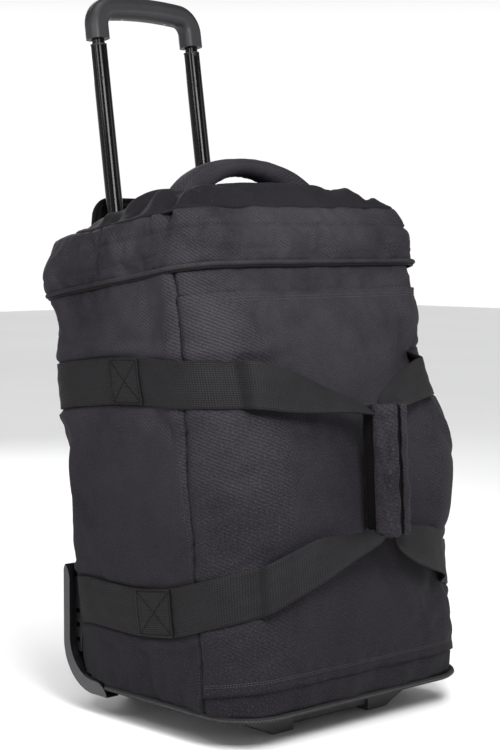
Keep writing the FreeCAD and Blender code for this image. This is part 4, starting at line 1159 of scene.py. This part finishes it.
def strap_edges(side, stations, turns, tail):
    """Edge points of a strap on the body, from its sewn end forward, then its free tail."""
    edges = []
    for a in turns:
        at = np.full(2, side * a)
        w = float(strap_w(np.array(a), stations)) + np.array([STRAP_HALF, -STRAP_HALF])
        points, normals = ring(at, w)
        swell, pull = softness(points, at, w), corner_pull(at, w)
        over_zip = 2.9 * bump(a - ZIP_A, 20) * (side > 0)
        lift = np.maximum(swell, pull - 0.5) + STRAP_CLEARANCE + over_zip
        points = points + normals * lift[:, None]
        edges.append((points[0], points[1]))
    return edges + [((side * top[0], *top[1:]), (side * low[0], *low[1:])) for top, low in tail]


# free ends of the haul straps: (top edge, bottom edge) points of the left and right ones
UPPER_TAIL = {
    -1: (((137, -84, 387), (137, -86, 338)), ((98, -98, 374), (98, -98, 331)),
         ((62, -104, 356), (62, -108, 328)), ((36, -108, 344), (40, -120, 326)),
         ((14, -108, 334), (20, -134, 322)), ((8, -108, 318), (9, -138, 316))),
    1: (((112, -88, 380), (124, -88, 338)), ((92, -96, 377), (97, -97, 334)),
        ((53, -104, 363), (60, -108, 329)), ((24, -108, 348), (34, -124, 328)),
        ((12, -108, 337), (18, -134, 327)), ((8, -108, 318), (9, -138, 316))),
}
LOWER_TAIL = {
    -1: (((140, -82, 184), (140, -80, 135)), ((110, -92, 194), (110, -90, 147)),
         ((82, -98, 202), (78, -100, 160)), ((52, -99, 202), (50, -112, 176)),
         ((24, -99, 201), (24, -126, 192)), ((10, -98, 208), (10, -127, 208))),
    1: (((116, -84, 188), (121, -80, 139)), ((104, -92, 191), (104, -90, 144)),
        ((78, -98, 198), (76, -100, 152)), ((42, -99, 202), (40, -110, 165)),
        ((18, -99, 203), (10, -120, 183)), ((10, -100, 212), (-2, -127, 205))),
}


STRAP_LEGS = (
    # name, heights, free end, station of the sewn end, first and last station of the end's folded part
    ("upper", UPPER_STRAP, UPPER_TAIL, A_REAR - 2, A_CORNER + 52, A_CORNER + 114),
    ("lower", LOWER_STRAP, LOWER_TAIL, A_SIDE + 14, A_CORNER + 44, A_CORNER + 112),
)


def haul_straps():
    """Both loops of webbing, each with an upper and a lower leg."""
    made = {}
    for name, side in SIDES:
        for leg, stations, tail, last, _, _ in STRAP_LEGS:
            turns = np.concatenate([np.linspace(last, A_SIDE, 5), np.linspace(A_SIDE - 20, A_CORNER + 8, 9),
                                    np.linspace(A_CORNER - 6, A_FRONT + 26, 5)])
            points, flat = ribbon(strap_edges(side, stations, turns, tail[side]))
            obj = grid_object(f"haul_strap_{name}_{leg}", points, flat, 2.2, flip=side > 0)
            made[name, leg] = dress(obj, WEBBING_MAT, replaces=(f"haul_loop_{name}",))
    return made


def strap_ends(straps):
    """The folded ends of all four legs and the boxes sewn through them."""
    for name, side in SIDES:
        for leg, stations, _, _, front, back in STRAP_LEGS:
            tree = tree_of(straps[name, leg])
            patch = strap_patch(f"strap_patch_{name}_{leg}", tree, side, stations, front, back)
            box_stitch(f"strap_box_{name}_{leg}", tree_of(patch), side, stations, front + 3, back - 3)


def strap_patch(name, tree, side, stations, a_front, a_back):
    """The strap's folded end, sewn over it, with a free front edge."""
    a, up = np.meshgrid(np.linspace(a_front, a_back, 24), np.linspace(-1, 1, 16), indexing="ij")
    w = strap_w(a, stations) + up * (STRAP_HALF - 0.4)
    points, normals = ring(side * a, w)
    lifted = []
    outward, from_edge = turn(normals).reshape(-1, 3), (a - a_front).ravel()
    for p, n, start in zip(place(points).reshape(-1, 3), outward, from_edge):
        spot, _ = drop(tree, p, n)
        lifted.append(spot + Vector(n) * (1.5 + 1.3 * math.exp(-start / 3.0)) / 1000)
    obj = make_object(name, lifted, grid_faces(24, 16, flip=side > 0), np.stack([a, w], -1).reshape(-1, 2))
    thicken(obj, 1.4)
    return dress(obj, WEBBING_MAT)


def box_stitch(name, tree, side, stations, a_front, a_back):
    """A sewn box with a cross where a strap is fastened to the body."""
    corners = []
    for a, up in ((a_back, 1), (a_front, 1), (a_front, -1), (a_back, -1)):
        corners.append((a, float(strap_w(np.array(a), stations)) + up * (STRAP_HALF - 2.5)))
    made = []
    for k, (i, j) in enumerate(((0, 1), (1, 2), (2, 3), (3, 0), (0, 2), (3, 1))):
        a, w = np.linspace(corners[i], corners[j], 14).T
        made.append(stitches(f"{name}_{k}", on_surface(tree, side * a, w), 2.6, 2.7, 1.0, 0.22))
    return join(name, made, BLACK_THREAD_MAT)


# ---------------------------------------------------------------- wrap
WRAP_MID_W = (WRAP_LOW[2] + WRAP_HIGH[2]) / 2
WRAP_TILT = math.radians(5.9)
WRAP_MID_V = -118.0
WRAP_HALF_H = 66.5
WRAP_HALF_X, WRAP_HALF_V = 14.6, 17.0


def wrap_frame(x, depth, height):
    """Points in the tilted wrap's own axes to leaned ones; depth is towards the back."""
    v = WRAP_MID_V + depth * math.cos(WRAP_TILT) - height * math.sin(WRAP_TILT)
    w = WRAP_MID_W + depth * math.sin(WRAP_TILT) + height * math.cos(WRAP_TILT)
    return np.stack([x, v, w], -1)


def oval(angle, half_x, half_v, square=3.2):
    """A squarish oval."""
    c, s = np.cos(angle), np.sin(angle)
    r = (np.abs(c) ** square + np.abs(s) ** square) ** (-1 / square)
    return half_x * c * r, half_v * s * r


WRAP_FOLDS = ((0.16, 30.0), (-0.14, 5.0), (0.2, -22.0))


def grip_wrap():
    """Padded wrap around both loops: a pad with bound ends, a flap, and dark closing tape between them, whose
    near black is also painted shade for the deep gaps beside the pad.
    """
    half_h = WRAP_HALF_H
    h, angle = np.meshgrid(np.linspace(-half_h + 1, half_h - 1, 24), np.linspace(0, 2 * PI, 65)[:-1],
                           indexing="ij")
    x, d = oval(angle, WRAP_HALF_X, WRAP_HALF_V)
    # the closing tape shows in the gaps beside the pad; its near black is partly its own colour and partly
    # painted shade
    core = grid_object("wrap_core", wrap_frame(x, d, h), np.stack([angle * 16, h], -1), 2.0, True, True)
    dress(core, BLACK_TAPE_MAT, replaces=("wrap_closing_strip",))
    shapes = (("wrap_pad", 3.40, 4.56, 1.2, 4.2), ("wrap_flap", 5.02, 8.2, 1.24, 3.0))
    for name, start, stop, grow, thickness in shapes:
        h, angle = np.meshgrid(np.linspace(-half_h, half_h, 56), np.linspace(start, stop, 40), indexing="ij")
        edge = np.minimum(angle - start, stop - angle)
        end = ramp(np.abs(h), half_h - 13, half_h - 10)
        x, d = oval(angle, WRAP_HALF_X, WRAP_HALF_V)
        pucker = 0.09 * noisy(np.stack([x, d, h * 0.7], -1), 12, 2.5) * (1 - end)
        folds = sum(-0.15 * bump((angle - 4.0) * 14 + slope * (h - at), 3.2) for slope, at in WRAP_FOLDS)
        folds = folds * (1 - end) * (1 - bump(edge * 16, 4.5))
        if name == "wrap_flap":
            folds = 0.0
        size = grow + pucker + folds - 0.07 * bump(np.abs(h) - half_h + 11.5, 1.3)
        size = size - 0.09 * bump(edge * 16, 2.2) - 0.10 * bump(half_h - np.abs(h), 1.4)
        points = wrap_frame(x * size, d * size, h)
        piece = grid_object(name, points, np.stack([angle * 17, h], -1), thickness, flip=True)
        dress(piece, CLOTH_MAT, replaces=("grip_wrap",))


def wrap_row(name, angle, height, half_x, half_v, pitch, length, lift, sway):
    """A row of stitches on the wrap: at angles around it and heights along it."""
    angle, height = np.broadcast_arrays(angle, height)
    x, d = oval(angle, half_x, half_v)
    points = wrap_frame(x, d, height)
    out = turn(points - wrap_frame(0 * x, 0 * d, height))
    return stitches(name, list(zip(place(points), out)), pitch, length, 0.7, lift, sway)


def wrap_seams():
    """The pad's two dark seams, the flap's zigzag, and two pale zigzags on each bound end."""
    up = np.linspace(-WRAP_HALF_H + 12, WRAP_HALF_H - 12, 60)
    around = np.linspace(3.38, 4.62, 40)
    flap = wrap_row("wrap_flap_seam", 5.10, up, 19.05, 22.225, 2.4, 1.8, -0.4, 0.9)
    join("wrap_flap_seam", [flap], LIGHT_THREAD_MAT)
    dark = []
    for at, half_x, half_v in ((4.32, 18.0, 21.0), (4.44, 17.85, 20.825)):
        dark.append(wrap_row("seam", at, up, half_x, half_v, 2.4, 1.8, -0.4, 0.0))
    join("wrap_seams", dark, DARK_THREAD_MAT)
    zigzags = []
    for height in (WRAP_HALF_H - 2.5, WRAP_HALF_H - 9.0):
        for sign in (-1, 1):
            zigzags.append(wrap_row("cuff", around, sign * height, 17.5, 20.4, 1.8, 2.4, 0.0, 0.9))
    join("wrap_cuff_seams", zigzags, LIGHT_THREAD_MAT)


# ---------------------------------------------------------------- grab handle
def handle_middle(x):
    """Middle line and half thickness of the padded arch."""
    reach = HANDLE_HIGH[0] + 7
    top, under = HANDLE_HIGH[2], HANDLE_HIGH[2] - 19
    share = np.clip(np.abs(x) / reach, 0, 1)
    rise = np.clip(1 - share ** 2.3, 0, 1) ** 0.85
    seat = CROWN_W - 3 - 12 * share ** 6
    upper = seat + (top - seat) * rise
    lower = np.maximum(under - 13.5 * (np.abs(x) / 50) ** 2.0, seat - 7)
    return (upper + lower) / 2, np.maximum((upper - lower) / 2, 3.2)


def grab_handle():
    """The padded arch with its side seams and its sewn ends; its cloth is gathered under the middle."""
    columns, rows = 36, 120
    reach = HANDLE_HIGH[0] + 6
    x = np.sin(np.linspace(-PI / 2, PI / 2, rows)) * reach
    x, angle = np.meshgrid(x, np.linspace(0, 2 * PI, columns + 1)[:-1], indexing="ij")
    middle, half = handle_middle(x)
    share = np.abs(x) / reach
    half_v = 15.5 + 3.0 * ramp(share, 0.4, 0.8) - 4 * ramp(share, 0.93, 1.0)
    c, s = np.cos(angle), np.sin(angle)
    under = ramp(-s, 0.1, 0.8) * (1 - ramp(share, 0.45, 0.7))
    ripple = 1.2 * noisy(np.stack([x, 0 * x, 0 * x], -1), 5.5, 1.0) * under
    ripple = ripple + 0.5 * noisy(np.stack([x, 10 * c, 10 * s], -1), 14, 3.0)
    ripple = ripple - 1.0 * bump(s - 0.28, 0.09) * (np.abs(c) > 0.3)
    across, up = oval(angle, half_v + ripple, half + ripple, 2.6)
    v, w = HANDLE_V + across, middle + up
    faces = grid_faces(rows, columns, closed=True, capped=True) + [tuple(reversed(range(columns)))]
    flat = np.stack([x, angle * 14], -1).reshape(-1, 2)
    obj = make_object("grab_handle_pad", place(np.stack([x, v, w], -1)).reshape(-1, 3), faces, flat)
    dress(obj, CLOTH_MAT, replaces=("grab_handle",))
    tree = tree_of(obj)
    seams = []
    for side in (-1, 1):
        path = []
        for at in np.linspace(-reach + 16, reach - 16, 90):
            m, h = handle_middle(np.array(at))
            seam_at = place([at, HANDLE_V, float(m) + float(h) * 0.52])
            path.append(drop(tree, seam_at, turn([0, side, 0.0])))
        seams.append(stitches(f"handle_{side}", path, 3.0, 2.2, 0.7, 0.1))
    for end in (-1, 1):
        path = []
        for v_at in np.linspace(HANDLE_V - 14, HANDLE_V + 14, 14):
            path.append(drop(tree, place([end * (reach - 10), v_at, CROWN_W - 6]), turn([0, 0, 1])))
        seams.append(stitches(f"handle_end_{end}", path, 2.6, 2.0, 0.8, 0.1))
    join("grab_handle_seams", seams, THREAD_MAT)
    return obj


# ---------------------------------------------------------------- seams, piping, binding
def on_surface(tree, a, w):
    """Frame point and normal on the sewn body at stations a, heights w."""
    return dropped(tree, *ring(a, w))


def body_seams(pieces):
    """Top stitching, a near-black cord that is painted shade in the side seams' groove, and the front panel's
    hem stitches.
    """
    tree = tree_of(*pieces.values())
    w = np.linspace(40, PIPING_W - 6, 150)
    rows = []
    for side in (-1, 1):
        rows.append(stitches(f"side_{side}", on_surface(tree, side * (seam_a(w) + 5.2), w), 3.1, 2.3, 0.8))
    join("side_seam_stitches", rows, THREAD_MAT)
    # painted shade: a near-black cord sunk just under the cloth along each side seam
    cords = []
    for side in (-1, 1):
        path = [p - Vector(n) * 0.0002 for p, n in on_surface(tree, side * seam_a(w), w)]
        cords.append(tube(f"seam_{side}", path, 0.9, 6))
    join("side_seam_shade_cord", cords, DARK_THREAD_MAT)
    a = np.linspace(-1, 1, 320)
    hems = []
    for k, height in enumerate((HEM_TOP_W - 5.5, HEM_TOP_W - 8.5, HEM_LOW_W + 2.5, HEM_LOW_W + 4.6)):
        ww = np.full_like(a, height)
        hems.append(stitches(f"hem_{k}", on_surface(tree, a * (seam_a(ww) - 5), ww), 3.0, 2.2, 0.85, 0.2))
    join("front_hem_stitches", hems, LIGHT_THREAD_MAT)


def band_seams(band_piece):
    """Stitches along the band's hem and fold, and two rows behind each upright seam."""
    tree = tree_of(band_piece)
    rows = []

    a = np.linspace(-BAND_SEAM_A + 4, BAND_SEAM_A - 4, 420)
    for name, height, width in (("band_a", BAND_HEM_W + 1.5, 0.8), ("band_b", BAND_FOLD_W + 2.6, 0.7)):
        path = dropped(tree, *band_ring(a, np.full_like(a, height)))
        rows.append(stitches(name, path, 3.0, 2.1, width))
    for side in (-1, 1):
        w = np.linspace(PIPING_W + 3, EDGE_W - 3, 40)
        for k, gap in enumerate((3.2, 6.4)):
            path = dropped(tree, *band_ring(np.full_like(w, side * (BAND_SEAM_A + gap)), w))
            rows.append(stitches(f"band_side_{side}_{k}", path, 2.9, 2.1, 0.75))
    return join("band_stitches", rows, THREAD_MAT)


def piping():
    """Corded piping between trunk and band, and the flange that it is sewn on, left near black as painted
    shade for the shadow line under the piping.
    """
    a = all_round(360)
    wave = 0.5 * noisy(band_ring(a, 0 * a, -1.3)[0], 40, 1.0)
    points, _ = band_ring(a, PIPING_W + 1.0 + wave, -1.3)
    bead = tube("piping_bead", place(points), 2.5, 12, closed=True)
    dress(bead, CLOTH_MAT, replaces=("end_piping",))
    # painted shade: a near-black flange tube under the bead stands for the shadow line below the piping
    points, _ = band_ring(a, PIPING_W - 2.2 + wave, 0.6)
    groove = tube("piping_flange_shade", place(points), 1.7, 8, closed=True)
    dress(groove, DARK_THREAD_MAT)
    return bead


def base_binding():
    """The bound seam around the base, with its pale zigzag stitching."""
    a = all_round(420)
    rim = ring(a, base_w(a))
    points = keep_clear((rim[0] + rim[1] * 0.4)[None])[0]
    path = place(points)
    path[:, 2] = (BODY_Z + 1.2) / 1000
    bead = tube("base_tape", path, 2.5, 10, closed=True, squash=1.15)
    dress(bead, TAPE_MAT, replaces=("base_binding",))
    tree = tree_of(bead)
    normals = turn(rim[1])
    row = []
    for p, n in zip(path, normals):
        out = Vector((n[0], n[1], 0)).normalized()
        row.append(drop(tree, Vector(p), out, 0.006))
    zigzag = stitches("zigzag", row, 2.0, 3.0, 0.9, 0.15, 0.85)
    return join("base_zigzag", [zigzag], PALE_THREAD_MAT)


def side_zip():
    """Coil zip on the right seam: tape, and two rows of coil turns that meet."""
    x = ZIP_HIGH[0]
    w = np.linspace(ZIP_LOW[2], ZIP_HIGH[2], 90)
    u, ww = np.meshgrid(np.linspace(-ZIP_HALF, ZIP_HALF, 7), w)
    points = np.stack([np.full_like(u, x - 0.6), ZIP_V + u, ww], -1)
    tape = grid_object("zip_tape", points, np.stack([ww, u], -1), 1.2, flip=True)
    dress(tape, BLACK_TAPE_MAT, replaces=("zip_chain",))
    coils = []
    for side in (-1, 1):
        line_points = place(np.stack([np.full_like(w, x - 0.2), np.full_like(w, ZIP_V + side * 1.3), w], -1))
        path = [(p, (1, 0, 0)) for p in line_points]
        coils.append(stitches(f"coil_{side}", path, 1.5, 2.6, 1.1, -0.3, PI / 2))
    return join("zip_coils", coils, BLACK_PLASTIC_MAT)


# ---------------------------------------------------------------- hard parts
HARD_MATERIALS = (
    (GRIP_MAT, ("grip_lower_shell", "grip_upper_shell")),
    (GUARD_MAT, ("corner_guard_left", "corner_guard_right")),
    (FOOT_MAT, ("foot_left", "foot_right", "foot_bar")),
    (BLACK_PLASTIC_MAT, ("grip_button", "release_yoke", "lock_plugs", "mid_bushes", "mid_collars",
                         "base_plate", "wheel_housing_left", "wheel_housing_right", "tube_bracket",
                         "trolley_bezel", "wheel_hub_left", "wheel_hub_right", "wheel_bushes_left",
                         "wheel_bushes_right", "back_board")),
    (TUBE_MAT, ("mid_tube_left", "mid_tube_right", "inner_tube_left", "inner_tube_right")),
    (ALUMINIUM_MAT, ("outer_tube_left", "outer_tube_right")),
    (STEEL_MAT, ("axle_left", "axle_right", "base_screws", "grip_screws", "release_rods", "lock_pin_left",
                 "lock_pin_right")),
    (BLACK_METAL_MAT, ("zip_slider", "zip_puller")),
    (TYRE_MAT, ("tyre_left", "tyre_right")),
)


def hard_parts():
    """Materials of the frame's own parts."""
    for material, names in HARD_MATERIALS:
        for name in names:
            obj = frame["nodes"][name]
            obj.data.materials.clear()
            obj.data.materials.append(material)


LOCK_HOLE_R = 2.6
LOCK_HOLE_DROP = 39.0       # below the middle tubes' heads
LOCK_HOLE_TURN = -0.75      # radians around the tube from its front


def lock_holes():
    """Dark pressed rims of the lock holes on the middle tubes."""
    cos, sin = math.cos(LOCK_HOLE_TURN), math.sin(LOCK_HOLE_TURN)
    for name, side in SIDES:
        angle = np.linspace(0, 2 * PI, 25)[:-1]
        across, up = LOCK_HOLE_R * np.cos(angle), LOCK_HOLE_R * np.sin(angle)
        depth = -np.sqrt(TUBE_R ** 2 - across ** 2) + 0.22
        x = side * TUBE_X - TUBE_R * 0.05 + across * cos - depth * sin
        rim = np.stack([x, TUBE_V + across * sin + depth * cos, TUBE_TOP_W - LOCK_HOLE_DROP + up], -1)
        obj = tube(f"lock_hole_{name}", place(rim), 0.32, 6, closed=True)
        dress(obj, BLACK_METAL_MAT, body="trolley_mid")


def button_leaf():
    """The bowed leaf spring under the grip's button, which flattens as the button goes down."""
    low, high = leaned_box("button_spring")
    thick = 0.5
    x, v = np.meshgrid(np.linspace(low[0], high[0], 41), np.linspace(low[1], high[1], 5))
    reach = high[0] - 2 * thick
    w = low[2] + thick + (high[2] - low[2] - thick) * np.clip(1 - (x / reach) ** 2, 0, 1)
    obj = grid_object("button_leaf", np.stack([x, v, w], -1), np.stack([x, v], -1), thick)
    dress(obj, STEEL_MAT, body="trolley_inner", replaces=("button_spring",))
    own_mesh(obj)


# ---------------------------------------------------------------- stage, light and camera
LIGHTS = (
    # name, place, aim, size in metres, power in watts
    ("key", (-0.5, -0.95, 0.98), (0, -0.1, 0.42), (0.45, 0.45), 17),
    ("side", (-1.05, -0.15, 1.05), (-0.18, 0.05, 0.4), (0.3, 0.3), 4),
    ("fill", (1.3, -1.2, 0.9), (0, 0, 0.4), (0.8, 0.8), 6),
    ("back", (0.7, 2.0, 1.3), (0, 0.1, 0.4), (1.0, 1.0), 16),
    ("strip", (-1.5, 0.35, 0.9), (0, 0.1, 0.6), (0.12, 1.4), 5),
)
SUN_STRENGTH = 2.1


def sky():
    """A white horizon under a dimmer ceiling, as in a studio with a white backdrop."""
    world = bpy.data.worlds.new("studio")
    bpy.context.scene.world = world
    world.use_nodes = True
    nodes, links = world.node_tree.nodes, world.node_tree.links
    background = nodes["Background"]
    where = nodes.new("ShaderNodeTexCoord")
    split = nodes.new("ShaderNodeSeparateXYZ")
    fade = nodes.new("ShaderNodeMapRange")
    links.new(where.outputs["Generated"], split.inputs[0])
    links.new(split.outputs[2], fade.inputs[0])
    for socket, value in zip(list(fade.inputs)[1:5], (0.12, 0.24, 1.02, 0.1)):
        socket.default_value = value
    links.new(fade.outputs[0], background.inputs[1])
    background.inputs[0].default_value = (1.0, 1.0, 1.0, 1)


def studio():
    """Pale floor, sky, five area lights and a soft overhead sun."""
    floor = make_object("studio_floor", [(-9, -9, 0), (9, -9, 0), (9, 9, 0), (-9, 9, 0)], [(0, 1, 2, 3)])
    s = Shader("studio_floor", 0.9)
    grey = s.noise(s.place(), 0.8, 2.0)
    tone = s.mix(s.span(grey, 0.3, 0.7), (0.90, 0.90, 0.905), (0.93, 0.93, 0.93))
    floor.data.materials.append(s.finish(tone))
    sky()
    for name, where, aim, size, power in LIGHTS:
        light = bpy.data.lights.new(name, "AREA")
        light.shape = "RECTANGLE"
        light.size, light.size_y = size
        light.energy = power
        obj = bpy.data.objects.new(name, light)
        obj.location = where
        obj.rotation_euler = (Vector(aim) - Vector(where)).to_track_quat("-Z", "Y").to_euler()
        bpy.context.scene.collection.objects.link(obj)
    sun = bpy.data.lights.new("overhead", "SUN")
    sun.energy, sun.angle = SUN_STRENGTH, math.radians(50)
    overhead = bpy.data.objects.new("overhead", sun)
    overhead.rotation_euler = (math.radians(14), math.radians(-8), 0)
    bpy.context.scene.collection.objects.link(overhead)
    bpy.context.scene.view_settings.view_transform = "Standard"


CAMERA_AZIMUTH = -42.8      # degrees; 0 looks at the bag's front
CAMERA_PITCH = -3.1         # degrees below level
CAMERA_LENS = 85.98         # mm, for a 36 mm film side along the picture's height
CAMERA_SHIFT = -0.0533      # keeps the camera nearly level, so that uprights stay upright
CAMERA_X = -1.3598          # metres
CAMERA_Y = -1.3393          # from the stand's front face
CAMERA_HEIGHT = 0.5189      # above the floor


def camera():
    data = bpy.data.cameras.new("camera")
    data.lens = CAMERA_LENS
    data.shift_y = CAMERA_SHIFT
    obj = bpy.data.objects.new("camera", data)
    bpy.context.scene.collection.objects.link(obj)
    obj.location = (CAMERA_X, CAMERA_Y + STAND_Y / 1000, CAMERA_HEIGHT)
    obj.rotation_euler = (math.radians(90 + CAMERA_PITCH), 0, math.radians(CAMERA_AZIMUTH))
    bpy.context.scene.camera = obj


# ---------------------------------------------------------------- the whole
def build():
    pieces = trunk()
    floor_cloth()
    band_piece = band()
    dome()
    ledge()
    hood()
    straps = haul_straps()
    grip_wrap()
    wrap_seams()
    grab_handle()
    body_seams(pieces)
    band_seams(band_piece)
    piping()
    base_binding()
    side_zip()
    strap_ends(straps)
    hard_parts()
    lock_holes()
    button_leaf()
    studio()
    camera()


build()
